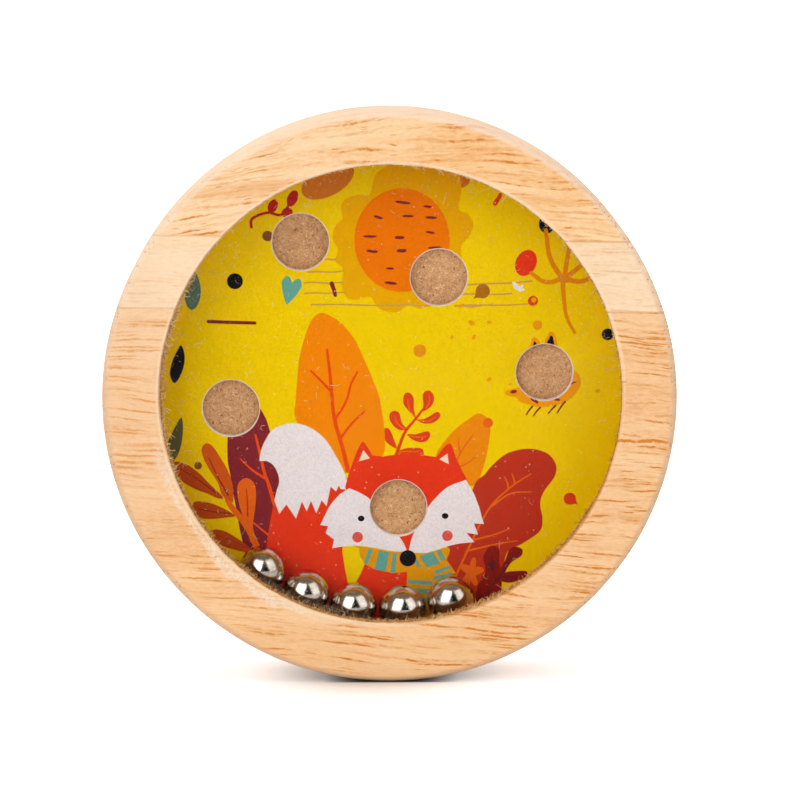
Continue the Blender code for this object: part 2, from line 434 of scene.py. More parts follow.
wood_top = wood(
    "wood_top", (srgb(255, 218, 170), srgb(249, 199, 142), srgb(238, 172, 104)),
    pore=srgb(222, 132, 30), lean=3.2, bow=-0.0019, flecks=1.8, bands=1.3, sway=1.1,
    seed=2.3, keep=0.50, joints=[UPPER_JOINT])
wood_middle = wood(
    "wood_middle", (srgb(255, 230, 196), srgb(252, 217, 178), srgb(243, 196, 144)),
    pore=srgb(216, 146, 76), lean=-3.0, streaks=0.55, flecks=0.8, sway=0.6,
    seed=5.9, joints=[UPPER_JOINT, LOWER_JOINT])
wood_bottom = wood(
    "wood_bottom", (srgb(255, 214, 168), srgb(248, 198, 146), srgb(232, 170, 112)),
    pore=srgb(220, 138, 40), lean=-4.6, bow=-0.0002, streaks=1.30, flecks=0.7, bands=0.60,
    sway=0.8, seed=0.8, keep=0.52, fade=(0.74, 1.25), joints=[LOWER_JOINT])


# --------------------------------------------------------------- ring pieces
def add_object(name, mesh, material, body=ROOT, replaces=None):
    obj = bpy.data.objects.new(name, mesh)
    scene.collection.objects.link(obj)
    mesh.materials.append(material)
    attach(obj, body)
    if replaces:
        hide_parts(replaces)


def finish_mesh(name, bm):
    """Makes a mesh with outward normals from bm and frees bm."""
    bmesh.ops.recalc_face_normals(bm, faces=bm.faces)
    mesh = bpy.data.meshes.new(name)
    bm.to_mesh(mesh)
    bm.free()
    return mesh


def shade(mesh, angle):
    """Smooth shading, sharp above an angle in degrees."""
    mesh.shade_smooth()
    mesh.set_sharp_from_angle(angle=math.radians(angle))


def quarter(centre_r, centre_y, radius, start, count=8):
    """A quarter circle in the section, as (radius, y) points."""
    angles = [start + math.pi / 2 * i / count for i in range(count + 1)]
    return [(centre_r + radius * math.cos(t), centre_y + radius * math.sin(t)) for t in angles]


def split_sides(points, longest):
    """Splits the long sides of a closed section, so that it can be shaped."""
    out = []
    for (r0, y0), (r1, y1) in zip(points, points[1:] + points[:1]):
        count = max(1, int(math.hypot(r1 - r0, y1 - y0) / longest + 0.5))
        out += [(r0 + (r1 - r0) * i / count, y0 + (y1 - y0) * i / count) for i in range(count)]
    return out


def ring_section():
    points = quarter(OUTER_R - ROUND, BACK - ROUND, ROUND, 0)
    points += quarter(REBATE_R + 0.25, BACK - 0.25, 0.25, math.pi / 2, 3)
    points += [(REBATE_R, LEDGE), (BORE_R, LEDGE), (BORE_R, FRONT + LIP), (MOUTH_R, FRONT + LIP)]
    points += [(MOUTH_R + ARRIS - ARRIS * math.cos(t), FRONT + ARRIS - ARRIS * math.sin(t))
               for t in np.linspace(0, math.pi / 2, 6)]
    points += quarter(OUTER_R - ROUND, FRONT + ROUND, ROUND, -math.pi / 2)
    return split_sides(points, 2.2)


def ring_row(section, angle):
    """The section placed at an angle round the ring, as (x, y, z) in millimetres.
    Hand-sanded edges wander by a few hundredths; the mouth is torn in two places."""
    cosine, sine = math.cos(angle), math.sin(angle)

    def wander(frequency, shift):
        return noise.noise(Vector((cosine * frequency, sine * frequency, shift)))

    sanding = wander(9, 3.3) + 0.6 * wander(31, 8.1)
    slow_sanding = wander(14, 21.7)
    torn = wander(95, 5.5) + 0.7 * wander(210, 9.2)
    degrees = math.degrees(angle)
    rough = max(0.0, 1.0 - abs((degrees - 196) / 52)) + max(0.0, 1.0 - abs((degrees - 292) / 48))
    rough = min(1.0, 1.6 * rough)
    row = []
    for radius, y in section:
        shaped, shift_x, shift_z = radius, 0.0, 0.0
        if radius < MOUTH_R + 2 * ARRIS and y < FRONT + LIP + 0.01:
            shift_x, shift_z = MOUTH_X, MOUTH_Z
            if y < FRONT + ARRIS + 0.01:
                outer_wander = 0.12 * slow_sanding if radius > MOUTH_R + 0.2 else 0.0
                shaped += (0.08 * sanding + 0.05 * torn - 0.22 * rough * max(0.0, torn + 0.1)
                           + outer_wander)
            else:
                shaped += (0.05 * sanding - (0.14 + 0.22 * rough) * abs(torn)
                           + 0.05 * wander(60, y * 2.0))
        elif radius > OUTER_R - 0.75 * ROUND and (y < FRONT + ROUND or y > BACK - ROUND):
            shaped -= 0.05 * max(0.0, sanding) + 0.06 * max(0.0, slow_sanding - 0.1)
        row.append((shaped * cosine + shift_x, y, shaped * sine + shift_z))
    return row


def ring_mesh(name, segments=1080):
    section = ring_section()
    bm = bmesh.new()
    rows = []
    for i in range(segments):
        row = ring_row(section, 2 * math.pi * i / segments)
        rows.append([bm.verts.new((x * MM, y * MM, z * MM)) for x, y, z in row])
    count = len(section)
    for i in range(segments):
        here, there = rows[i], rows[(i + 1) % segments]
        for j in range(count):
            k = (j + 1) % count
            bm.faces.new((here[j], here[k], there[k], there[j]))
    return finish_mesh(name, bm)


def cut(bm, joint, keep_above):
    """Cuts at a glue plane and closes the cut."""
    height, slope = joint
    made = bmesh.ops.bisect_plane(
        bm, geom=bm.verts[:] + bm.edges[:] + bm.faces[:], dist=1e-7,
        plane_co=Vector((0, 0, height * MM)),
        plane_no=Vector((-math.sin(slope), 0, math.cos(slope))),
        clear_inner=keep_above, clear_outer=not keep_above)
    edges = [item for item in made["geom_cut"] if isinstance(item, bmesh.types.BMEdge)]
    bmesh.ops.edgenet_fill(bm, edges=edges)


def stave(name, source, below, above, side):
    """The part of the ring between two joints; side -1 or 1 keeps the left or right half."""
    bm = bmesh.new()
    bm.from_mesh(source)
    if below:
        cut(bm, below, True)
    if above:
        cut(bm, above, False)
    if side:
        doomed = [v for v in bm.verts if v.co.x * side < 0]
        bmesh.ops.delete(bm, geom=doomed, context="VERTS")
    mesh = finish_mesh(name, bm)
    shade(mesh, 40)
    return mesh


whole_ring = ring_mesh("ring_whole")
# name, joint below, joint above, side, material, slot
STAVES = (
    ("top_stave", UPPER_JOINT, None, 0, wood_top, "wood_top"),
    ("left_stave", LOWER_JOINT, UPPER_JOINT, -1, wood_middle, "wood_middle"),
    ("right_stave", LOWER_JOINT, UPPER_JOINT, 1, wood_middle, "wood_middle"),
    ("bottom_stave", None, LOWER_JOINT, 0, wood_bottom, "wood_bottom"))
for name, below, above, side, material, slot in STAVES:
    add_object(name, stave(name, whole_ring, below, above, side), material,
               replaces="ring_" + name)
bpy.data.meshes.remove(whole_ring)


# -------------------------------------------------------------- card artwork
# Flat outlines as (x, z) from the centre of the disc: an autumn picture with leaves, berries,
# a flower and a small fox. Later shapes cover earlier ones.
INK = {name: srgb(*rgb) for name, rgb in {
    "ground": (250, 211, 0), "petal": (240, 174, 0), "sun": (246, 122, 2),
    "orange": (252, 140, 2), "amber": (238, 148, 22), "vermilion": (228, 68, 26),
    "red": (238, 58, 28), "brick": (196, 54, 32), "maroon": (134, 40, 48),
    "plum": (104, 32, 40), "rust": (196, 78, 24), "burnt": (236, 104, 24),
    "clay": (218, 92, 28), "dusk": (150, 54, 32), "flame": (240, 78, 20),
    "ember": (246, 104, 34), "cherry": (188, 36, 30), "mango": (246, 142, 8),
    "ochre": (240, 160, 14), "bird": (246, 158, 6), "nut": (176, 108, 20),
    "teal": (104, 170, 156), "slate": (88, 122, 110), "olive": (98, 100, 62),
    "rim": (236, 214, 190), "ink": (24, 22, 24), "navy": (30, 28, 36),
    "bark": (214, 122, 36), "cocoa": (136, 80, 38), "stalk": (234, 142, 12),
    "tan": (214, 160, 70), "white": (244, 234, 238), "shell": (250, 222, 196),
    "blush": (230, 88, 78), "scarf": (234, 156, 16), "berry": (140, 30, 22)}.items()}
shapes = []


def draw(colour, points):
    shapes.append((INK[colour], [(float(x), float(z)) for x, z in points]))


def turn(points, x, z, degrees=0.0, scale_x=1.0, scale_z=1.0):
    """Scales and turns points about the origin, then moves them to x, z."""
    cosine, sine = math.cos(math.radians(degrees)), math.sin(math.radians(degrees))
    return [(x + px * scale_x * cosine - pz * scale_z * sine,
             z + px * scale_x * sine + pz * scale_z * cosine) for px, pz in points]


def relative(points, x, z):
    """Points measured from x, z."""
    return [(px - x, pz - z) for px, pz in points]


def oval(colour, x, z, half_x, half_z=None, degrees=0.0, count=28):
    half_z = half_x if half_z is None else half_z
    unit = [(math.cos(2 * math.pi * i / count), math.sin(2 * math.pi * i / count))
            for i in range(count)]
    draw(colour, turn(unit, x, z, degrees, half_x, half_z))


def spline(p0, p1, p2, p3, steps):
    """Catmull-Rom points from p1 up to, not including, p2."""
    return [tuple(0.5 * (2 * p1 + (p2 - p0) * t + (2 * p0 - 5 * p1 + 4 * p2 - p3) * t * t
                         + (3 * p1 - p0 - 3 * p2 + p3) * t ** 3))
            for t in np.arange(steps) / steps]


def closed_curve(points, steps=8):
    out = []
    for i in range(len(points)):
        out += spline(*(np.array(points[(i + j - 1) % len(points)], float) for j in range(4)),
                      steps)
    return out


def open_curve(points, steps=6):
    knots = [np.array(point, float) for point in points]
    knots = [2 * knots[0] - knots[1]] + knots + [2 * knots[-1] - knots[-2]]
    out = []
    for i in range(1, len(knots) - 2):
        out += spline(*knots[i - 1:i + 3], steps)
    return out + [tuple(knots[-2])]


def arc(start, end, bulge, count=12):
    """Points from start to end, bowed to the left by bulge."""
    start, end = np.array(start, float), np.array(end, float)
    run = end - start
    left = np.array((-run[1], run[0])) / (np.hypot(*run) + 1e-9)
    return [tuple(start + run * t + left * bulge * 4 * t * (1 - t))
            for t in np.linspace(0, 1, count)]


def stroke(colour, path, first_width, last_width):
    """A brush line along a path with round ends."""
    middle = np.array(path, float)
    run = np.gradient(middle, axis=0)
    run /= np.hypot(run[:, 0], run[:, 1])[:, None] + 1e-9
    normal = np.c_[-run[:, 1], run[:, 0]]
    half = np.linspace(first_width, last_width, len(middle))[:, None] / 2
    left, right = middle + normal * half, middle - normal * half
    angles = np.linspace(0, math.pi, 6)[1:-1]
    first_cap = [tuple(middle[0] + half[0] * (normal[0] * math.cos(t) * -1
                                              - run[0] * math.sin(t))) for t in angles]
    last_cap = [tuple(middle[-1] + half[-1] * (normal[-1] * math.cos(t)
                                               + run[-1] * math.sin(t))) for t in angles]
    draw(colour, [tuple(q) for q in left] + last_cap + [tuple(q) for q in right[::-1]]
         + first_cap)


def line(colour, points, first_width, last_width):
    """A smooth brush line through a few points."""
    stroke(colour, open_curve(points, 4), first_width, last_width)


def blob(colour, points, steps=8):
    """A smooth closed patch."""
    draw(colour, closed_curve(points, steps))


def leaf(colour, base, tip, width, count=16):
    """A round-bodied pointed leaf from base to tip."""
    fullness = 0.7
    base, tip = np.array(base, float), np.array(tip, float)
    run = tip - base
    left = np.array((-run[1], run[0])) / np.hypot(*run)
    upper, lower = [], []
    for t in np.linspace(0, 1, count):
        half = (math.sin(math.pi * t ** (1.0 - 0.25 * fullness)) ** (1.0 - 0.45 * fullness)
                * width / 2)
        upper.append(tuple(base + run * t + left * half))
        lower.append(tuple(base + run * t - left * half))
    draw(colour, upper + lower[::-1][1:-1])


# flower at the top
oval("bark", -10.2, 35.2, 4.8, 2.6, 28)
oval("bark", 10.5, 36.0, 3.2, 2.0, -20)
blob("petal", [
    (-5.2, 32.8), (-7.2, 32.1), (-8.0, 30.7), (-7.7, 28.9), (-9.0, 27.5), (-9.4, 25.3),
    (-8.5, 23.5), (-9.0, 21.7), (-7.7, 20.4), (-7.9, 17.7), (-7.2, 15.7), (-5.5, 15.1),
    (-3.2, 15.6), (-1.5, 13.6), (1.2, 13.0), (3.4, 14.2), (5.0, 13.6), (7.0, 14.2), (10.5, 16.0),
    (12.4, 20.0), (12.1, 24.0), (13.3, 25.6), (14.2, 27.6), (13.4, 29.4), (11.7, 30.4),
    (12.1, 33.3), (11.8, 35.8), (9.5, 38.5), (3.0, 39.4), (-0.5, 37.5), (-2.3, 36.0),
    (-3.2, 32.9)], 6)
# thin level lines beside the flower: x, z of both ends
for x0, z0, x1, z1 in (
        (-10.6, 21.9, -8.8, 22.0), (-13.5, 19.8, -7.7, 19.9), (-14.1, 18.0, -7.9, 18.05),
        (-14.1, 16.2, -7.5, 16.35), (-13.0, 14.3, 3.9, 14.2), (12.6, 17.55, 24.0, 18.2),
        (12.2, 16.0, 20.6, 16.1), (11.1, 14.05, 23.5, 14.35), (1.9, 14.25, 7.0, 14.1)):
    stroke("tan", [(x0 + (x1 - x0) * t, z0 + (z1 - z0) * t + 0.07 * math.sin(7 * t))
                   for t in np.linspace(0, 1, 11)], 0.34, 0.28)
stroke("tan", [(12.4, 14.2), (14.0, 13.95), (15.6, 14.15)], 0.55, 0.3)
oval("sun", 2.2, 25.15, 8.0, 8.72, 0, 56)
SEED = [(-0.5, 0.1), (-0.36, 0.42), (-0.1, 0.5), (0.16, 0.40), (0.38, 0.32), (0.5, -0.05),
        (0.34, -0.42), (0.08, -0.5), (-0.18, -0.38), (-0.40, -0.30)]
# seeds on the flower: x, z, length, width, tilt in degrees
for x, z, length, width, tilt in (
        (2.35, 31.5, 2.7, 0.50, -6), (6.5, 30.8, 1.5, 0.46, -2), (-1.75, 29.0, 1.65, 0.50, -14),
        (3.2, 29.2, 1.95, 0.44, 0), (7.1, 28.95, 2.0, 0.50, 0), (6.95, 26.45, 1.6, 0.44, -8),
        (-3.15, 25.8, 2.4, 0.46, 1), (1.8, 25.6, 1.75, 0.58, 2), (-2.8, 23.3, 2.05, 0.54, -5),
        (2.15, 23.4, 1.75, 0.66, 4), (7.65, 23.9, 2.25, 0.44, 4), (0.2, 20.4, 1.40, 0.42, 0),
        (0.3, 17.95, 2.25, 0.54, -5)):
    draw("maroon", turn(SEED, x, z, tilt, length, width))

# scattered marks, upper part
line("cherry", [(-23.0, 27.4), (-23.0, 28.6), (-21.8, 29.4), (-20.1, 29.8), (-18.3, 29.4),
                (-17.4, 30.0), (-16.6, 31.4)], 0.48, 0.44)
oval("cherry", -16.1, 32.2, 0.86, 1.45, -24)
oval("cherry", -19.4, 30.9, 0.80, 1.20, -24)
oval("cherry", -17.0, 29.8, 0.95, 0.85, 20)
oval("cocoa", -20.3, 25.9, 0.88)
oval("ink", -25.8, 18.3, 1.34)
HEART = ([(0.0, -1.55)] + arc((0.0, -1.55), (0.98, 0.55), -0.12, 6)[1:]
         + arc((0.98, 0.55), (0.0, 0.62), -0.62, 8)[1:]
         + arc((0.0, 0.62), (-0.98, 0.55), -0.62, 8)[1:]
         + arc((-0.98, 0.55), (0.0, -1.55), -0.12, 6)[1:-1])
draw("teal", turn(HEART, -16.5, 16.9, -14, 1.8, 1.75))
line("maroon", [(-9.6, 17.9), (-9.2, 16.8), (-9.0, 15.9)], 0.74, 0.60)
stroke("maroon", [(-30.3, 11.5), (-26.4, 11.35), (-22.5, 11.25)], 0.60, 0.56)
leaf("slate", (-33.1, 13.4), (-32.6, 20.1), 2.7)
blob("navy", [(-34.9, 7.5), (-34.3, 5.5), (-34.8, 2.9), (-36.0, 1.1), (-36.8, 2.4), (-36.5, 4.5),
              (-35.7, 6.3)])
blob("olive", [(-35.0, -4.8), (-34.7, -7.0), (-35.2, -10.1), (-36.3, -12.2), (-37.3, -12.4),
               (-37.6, -10.1), (-36.5, -7.3)])
stroke("vermilion", [(17.8, 31.3), (18.3, 32.1), (18.7, 32.8)], 0.80, 0.66)
oval("ink", 26.4, 27.7, 1.25, 1.45, 20)
oval("ink", 36.8, 9.2, 1.0)
oval("red", 23.0, 21.3, 1.75, 2.3, -24)
# stalks that meet in one place: path, first and last width
STALKS = (
    ([(29.3, 18.5), (28.6, 19.4), (27.5, 21.1), (26.8, 23.0), (26.5, 25.2), (26.3, 26.8)],
     0.86, 0.60),
    ([(29.3, 18.5), (29.55, 19.6), (29.9, 21.8), (30.25, 24.0), (30.5, 26.6)], 0.80, 0.56),
    ([(29.3, 18.5), (30.15, 19.15), (31.35, 20.1), (32.4, 20.95), (34.6, 22.4)], 0.84, 0.60),
    ([(29.3, 18.4), (30.2, 18.4), (31.85, 18.15), (33.05, 18.4), (33.9, 18.8), (35.6, 19.4)],
     0.84, 0.62),
    ([(29.3, 18.6), (28.5, 18.5), (27.3, 18.05), (25.85, 18.2), (24.9, 18.8), (23.9, 19.6)],
     0.80, 0.56),
    ([(29.3, 18.6), (29.2, 17.8), (29.4, 15.2), (29.9, 12.1), (31.25, 9.5)], 0.82, 0.44))
for path, first, last in STALKS:
    line("petal", path, first + 0.12, last + 0.10)
for path, first, last in STALKS:
    line("stalk", path, first, last)
oval("stalk", 29.35, 18.5, 0.66, 0.72, 0, 20)
DROP = ([(0.0, -1.65), (0.22, -1.15)]
        + [(math.cos(math.radians(q)), math.sin(math.radians(q))) for q in range(-60, 241, 15)]
        + [(-0.22, -1.15)])
draw("nut", turn(DROP, 15.75, 16.55, -50, 1.20, 1.22))
draw("white", turn([(-1.1, 0.9), (-0.5, -0.2), (0.5, -0.6), (1.3, -0.2), (0.8, 0.1), (1.0, 0.7),
                    (0.2, 0.3), (-0.5, 0.9)], 21.6, 17.1, -8, 1.0, 1.0))
oval("vermilion", 24.2, 14.9, 0.86)
oval("petal", 24.35, 15.05, 0.42)
oval("amber", 5.2, 6.5, 1.08)
oval("ochre", 25.0, 10.8, 0.82)
# small ochre spots: x, z, half length, tilt in degrees
for x, z, half, tilt in (
        (13.9, 11.2, 0.62, -30), (16.9, 11.3, 0.42, -10), (10.6, 8.8, 0.36, 60),
        (14.3, 8.8, 0.46, 60), (16.9, 1.6, 0.46, 30), (20.3, 0.8, 0.32, 0),
        (35.2, -0.4, 0.46, 20), (11.9, 14.0, 0.46, 0)):
    oval("ochre", x, z, half, half * 0.66, tilt, 16)
draw("vermilion", turn(DROP, 30.6, -18.8, 55, 1.05, 1.05))

# little round bird, mostly cut away by the right-hand hole
BIRD = [(19.7, -0.5), (20.2, -0.1), (21.1, 0.1), (22.5, 0.8), (24.4, 5.0), (28.1, 5.8),
        (31.2, 3.0), (31.9, 2.3), (32.2, 1.0), (31.7, -0.4), (30.4, -1.7), (28.9, -2.5),
        (27.3, -2.9), (25.2, -3.0), (23.6, -2.6), (22.1, -2.1), (21.8, -1.5), (20.9, -1.3),
        (19.9, -1.0)]
for colour, grow in (("petal", 1.03), ("bird", 1.0)):
    draw(colour, turn(closed_curve(relative(BIRD, 26.0, 1.4), 5), 26.0, 1.4, 0, grow, grow))
for outer, inner in (
        (((23.7, 6.0), (24.0, 8.3), (24.5, 8.7), (25.2, 8.2), (25.9, 6.6)),
         ((24.2, 6.4), (24.5, 8.1), (25.2, 6.6))),
        (((25.9, 6.6), (26.7, 9.1), (27.4, 9.7), (28.0, 9.0), (28.3, 6.4)),
         ((26.3, 6.8), (27.0, 8.7), (27.35, 9.0), (27.65, 8.5), (27.8, 6.6)))):
    blob("bird", outer, 4)
    blob("ink", inner, 4)
oval("maroon", 21.0, -0.5, 0.58, 0.30, 12, 16)
for x0, z0, x1, z1 in ((24.2, -3.0, 23.2, -4.4), (25.5, -3.2, 24.4, -4.6),
                       (28.1, -2.9, 26.9, -4.2), (29.7, -2.2, 28.4, -4.1)):
    stroke("maroon", arc((x0, z0), (x1, z1), -0.06, 5), 0.32, 0.24)
for x0, z0, x1, z1, width in ((24.2, -1.7, 25.0, -2.3, 0.62), (28.1, -1.8, 28.7, -1.9, 0.5),
                              (30.8, 0.9, 31.5, 1.15, 0.26)):
    stroke("maroon", [(x0, z0), ((x0 + x1) / 2, (z0 + z1) / 2), (x1, z1)], width, width * 0.7)

# sprig above the fox
line("vermilion", [(1.2, -11.4), (1.8, -9.6), (2.8, -7.2), (4.5, -5.1), (5.7, -3.5)], 0.62, 0.40)
for outline in (
        ((5.7, -3.7), (5.8, -2.5), (5.7, -1.1), (6.1, -0.4), (6.9, -0.3), (7.6, -1.3),
         (7.3, -2.7), (6.3, -3.6)),
        ((4.5, -4.9), (3.5, -3.9), (2.6, -2.8), (2.4, -2.0), (2.6, -0.9), (3.2, -0.6),
         (3.8, -0.9), (4.2, -1.8), (4.2, -3.4)),
        ((4.7, -5.2), (5.9, -5.1), (6.9, -4.6), (8.1, -3.9), (8.7, -4.4), (8.3, -5.2),
         (7.3, -5.8), (6.1, -5.9), (5.2, -5.6)),
        ((3.1, -6.8), (2.2, -5.8), (1.8, -4.2), (1.0, -3.7), (0.2, -4.1), (0.1, -5.1),
         (0.8, -6.3), (1.8, -7.0), (2.6, -7.0)),
        ((3.1, -7.7), (4.5, -7.7), (5.9, -7.3), (6.8, -7.3), (6.9, -8.2), (6.1, -9.0),
         (4.9, -9.0), (3.8, -8.5)),
        ((1.3, -10.1), (0.9, -8.7), (0.2, -7.0), (-0.5, -6.6), (-0.9, -7.2), (-0.7, -8.6),
         (0.1, -9.5))):
    blob("vermilion", outline, 5)
for path in (((6.3, -3.2), (6.9, -2.0), (6.7, -0.9)), ((4.3, -4.6), (3.4, -3.4), (3.2, -1.8)),
             ((5.1, -5.3), (6.6, -5.5), (7.8, -4.8)), ((2.6, -6.8), (1.4, -5.8), (1.0, -4.6)),
             ((3.5, -8.0), (5.1, -8.2), (6.3, -8.1))):
    line("ember", path, 0.26, 0.14)

# large leaves behind the fox, with their ribs
blob("orange", [
    (-11.5, 12.9), (-13.0, 11.7), (-14.2, 8.6), (-15.1, 4.9), (-15.7, -1.8), (-15.7, -5.0),
    (-12.6, -12.3), (-7.4, -14.4), (-1.5, -11.8), (-0.7, -8.1), (-1.5, -1.9), (-2.8, 1.8),
    (-4.3, 5.4), (-5.8, 8.5), (-7.9, 11.1), (-10.0, 12.5)])
line("flame", [(-10.4, 6.7), (-10.0, 3.4), (-9.7, 0.0), (-9.2, -5.0), (-7.9, -9.7),
               (-6.9, -13.9)], 0.44, 0.76)
line("flame", [(-13.1, 3.1), (-11.5, 1.5), (-9.9, -0.2)], 0.36, 0.44)
line("flame", [(-5.3, 2.9), (-6.4, 0.8), (-7.2, -2.1), (-9.1, -5.2)], 0.34, 0.44)
line("flame", [(-4.1, -3.8), (-6.4, -6.0), (-8.3, -8.6)], 0.34, 0.44)
blob("mango", [
    (15.0, -4.2), (13.1, -5.4), (11.4, -6.7), (9.4, -8.9), (7.9, -11.6), (9.6, -14.0),
    (13.0, -16.3), (14.8, -16.1), (16.1, -12.9), (16.8, -9.7), (17.1, -6.8), (16.5, -4.9)])
line("burnt", [(11.0, -13.0), (12.3, -10.5), (14.2, -7.8)], 0.34, 0.20)
line("burnt", [(11.7, -8.4), (11.75, -9.4), (11.95, -10.6)], 0.18, 0.26)
line("burnt", [(11.5, -13.4), (13.0, -12.8), (14.6, -11.7)], 0.30, 0.18)
oval("burnt", 16.7, -5.8, 0.86)
blob("brick", [
    (14.5, -16.3), (16.1, -14.7), (17.4, -13.1), (20.0, -11.0), (23.6, -10.2), (26.7, -11.0),
    (28.2, -12.9), (28.0, -15.0), (26.2, -17.6), (25.6, -19.7), (26.0, -22.3), (25.5, -24.4),
    (22.6, -26.5), (20.0, -28.1), (19.0, -33.4), (16.4, -40.6), (9.7, -41.2), (9.7, -28.1),
    (12.2, -22.8)])
line("burnt", [(9.7, -35.5), (11.7, -31.2), (16.4, -21.3), (20.2, -17.1), (24.0, -14.5)],
     0.46, 0.20)
for path in (((19.5, -15.0), (20.0, -16.0), (20.2, -17.0)),
             ((20.8, -14.5), (21.1, -15.4), (21.3, -16.2)),
             ((24.1, -17.6), (20.5, -17.9), (17.2, -20.2)),
             ((20.4, -23.9), (17.9, -24.9), (14.4, -25.8)),
             ((21.7, -26.0), (18.5, -26.5), (13.6, -27.6))):
    line("burnt", path, 0.18, 0.34)
blob("maroon", [
    (-19.6, -8.0), (-20.8, -4.8), (-22.4, -2.4), (-24.6, -1.2), (-26.6, -2.0), (-27.2, -8.6),
    (-27.2, -12.1), (-26.8, -14.5), (-26.3, -17.7), (-25.8, -20.5), (-25.0, -25.0),
    (-23.6, -30.0), (-20.4, -30.5), (-19.4, -24.0), (-18.0, -18.4), (-16.6, -12.0),
    (-17.6, -9.0)])
line("flame", [(-22.5, -7.8), (-21.8, -10.7), (-21.1, -13.9), (-20.3, -16.3), (-19.4, -19.6)],
     0.40, 0.66)
line("flame", [(-25.1, -11.8), (-23.0, -13.8), (-20.8, -15.2)], 0.24, 0.46)
line("flame", [(-23.6, -22.2), (-21.7, -23.8), (-20.0, -25.2)], 0.24, 0.44)

# rust-coloured sprig, lower left
line("burnt", [(-27.9, -16.8), (-27.0, -19.4), (-26.0, -20.8), (-24.6, -22.6), (-23.4, -24.6),
               (-22.5, -26.6), (-21.6, -28.6)], 0.9, 1.15)
for colour, outline in (
        ("rust", ((-36.6, -12.7), (-35.5, -12.3), (-33.7, -13.0), (-31.8, -14.5),
                  (-30.3, -16.1), (-28.0, -18.4), (-28.9, -18.6), (-30.6, -17.8),
                  (-32.7, -17.0), (-34.7, -15.8), (-36.0, -14.3))),
        ("clay", ((-31.6, -10.2), (-30.9, -9.2), (-29.8, -9.6), (-28.5, -11.5), (-27.2, -13.8),
                  (-26.4, -16.3), (-26.3, -19.1), (-26.7, -19.1), (-28.2, -18.0),
                  (-28.9, -15.9), (-30.2, -13.8), (-31.2, -11.9))),
        ("rust", ((-33.4, -19.9), (-32.6, -19.1), (-31.0, -19.2), (-29.3, -19.7),
                  (-27.6, -20.5), (-26.0, -21.6), (-27.6, -21.9), (-29.6, -22.1),
                  (-31.7, -22.0), (-32.8, -21.2))),
        ("rust", ((-30.6, -24.5), (-29.3, -23.9), (-27.6, -24.3), (-25.9, -25.3),
                  (-24.5, -26.3), (-22.9, -27.7), (-24.5, -27.8), (-26.2, -27.4),
                  (-28.3, -26.7), (-29.9, -25.6))),
        ("burnt", ((-25.6, -16.8), (-25.2, -15.7), (-24.1, -15.1), (-23.0, -15.7),
                   (-22.5, -17.0), (-22.5, -19.1), (-22.8, -21.5), (-23.0, -23.6),
                   (-22.3, -26.6), (-23.4, -26.1), (-24.0, -23.6), (-25.0, -20.8),
                   (-25.5, -18.7)))):
    blob(colour, outline, 5)
for colour, path in (
        ("dusk", ((-27.2, -18.0), (-28.9, -14.9), (-30.4, -11.6))),
        ("dusk", ((-28.9, -17.9), (-32.0, -15.5), (-35.2, -13.5))),
        ("dusk", ((-26.8, -21.2), (-29.6, -20.9), (-32.2, -20.4))),
        ("brick", ((-23.8, -27.1), (-26.6, -25.8), (-29.2, -24.9))),
        ("brick", ((-23.9, -21.6), (-23.9, -19.2), (-24.1, -17.0)))):
    line(colour, path, 0.30, 0.16)
oval("cocoa", -32.2, -13.0, 0.64)

# fox: body
blob("red", [
    (-21.2, -33.0), (-20.8, -27.3), (-20.4, -24.5), (-20.0, -22.0), (-19.2, -19.2),
    (-16.4, -15.0), (-11.0, -13.0), (-7.4, -14.8), (-5.6, -19.0), (-6.4, -24.0), (-7.8, -27.0),
    (-7.75, -28.7), (-7.0, -33.0), (-5.0, -41.2), (-14.0, -41.2)])
draw("red", [(-3.0, -27.5), (-4.1, -29.9), (-4.8, -31.6), (-5.8, -33.4), (-7.4, -41.2),
             (11.6, -41.0), (11.0, -32.0), (4.0, -28.0)])
# fox: tail with a thin rim
TAIL = (
    open_curve([(-21.8, -12.2), (-21.5, -10.5), (-20.8, -8.8), (-19.5, -6.9), (-17.3, -6.0),
                (-15.3, -5.9), (-12.9, -6.8), (-10.7, -8.7), (-9.0, -11.4), (-7.6, -14.2),
                (-6.7, -17.2)])
    + [(-8.2, -17.0), (-8.5, -16.3), (-9.0, -17.4), (-9.9, -16.6), (-10.6, -19.9),
       (-11.4, -18.9), (-12.3, -21.1), (-13.2, -19.0), (-13.9, -20.8), (-14.7, -19.1),
       (-15.7, -22.0), (-17.3, -19.6), (-18.5, -21.2)]
    + open_curve([(-19.3, -18.9), (-18.9, -17.2), (-18.5, -15.8), (-18.7, -14.4),
                  (-19.5, -12.9), (-20.6, -12.2)]))
draw("rim", turn(relative(TAIL, -14.5, -14.0), -14.5, -14.0, 0, 1.014, 1.014))
draw("white", TAIL)
# fox: head, ears and cheeks
draw("red", [(-7.4, -16.7), (-6.8, -14.4), (-6.0, -12.2)]
     + open_curve([(-5.4, -10.6), (-4.5, -9.0), (-3.8, -9.6), (-2.8, -11.3)], 4)
     + open_curve([(-1.0, -11.5), (1.7, -11.1), (4.5, -11.1), (8.0, -11.6)], 4)
     + open_curve([(8.6, -10.8), (9.5, -9.7), (10.3, -9.3), (10.8, -10.1), (11.3, -11.7)], 4)
     + [(12.5, -14.2), (13.2, -15.5), (12.4, -22.0), (3.3, -28.4), (-5.0, -24.0)])
blob("vermilion", [(1.3, -10.8), (2.8, -10.1), (4.5, -10.0), (5.6, -10.2), (5.9, -10.9),
                   (5.6, -11.4), (3.2, -11.3)], 5)
line("ember", [(1.8, -10.7), (3.3, -10.6), (4.9, -10.7)], 0.26, 0.14)
draw("shell", [(-5.1, -12.3), (-4.3, -10.4), (-3.2, -11.8)])
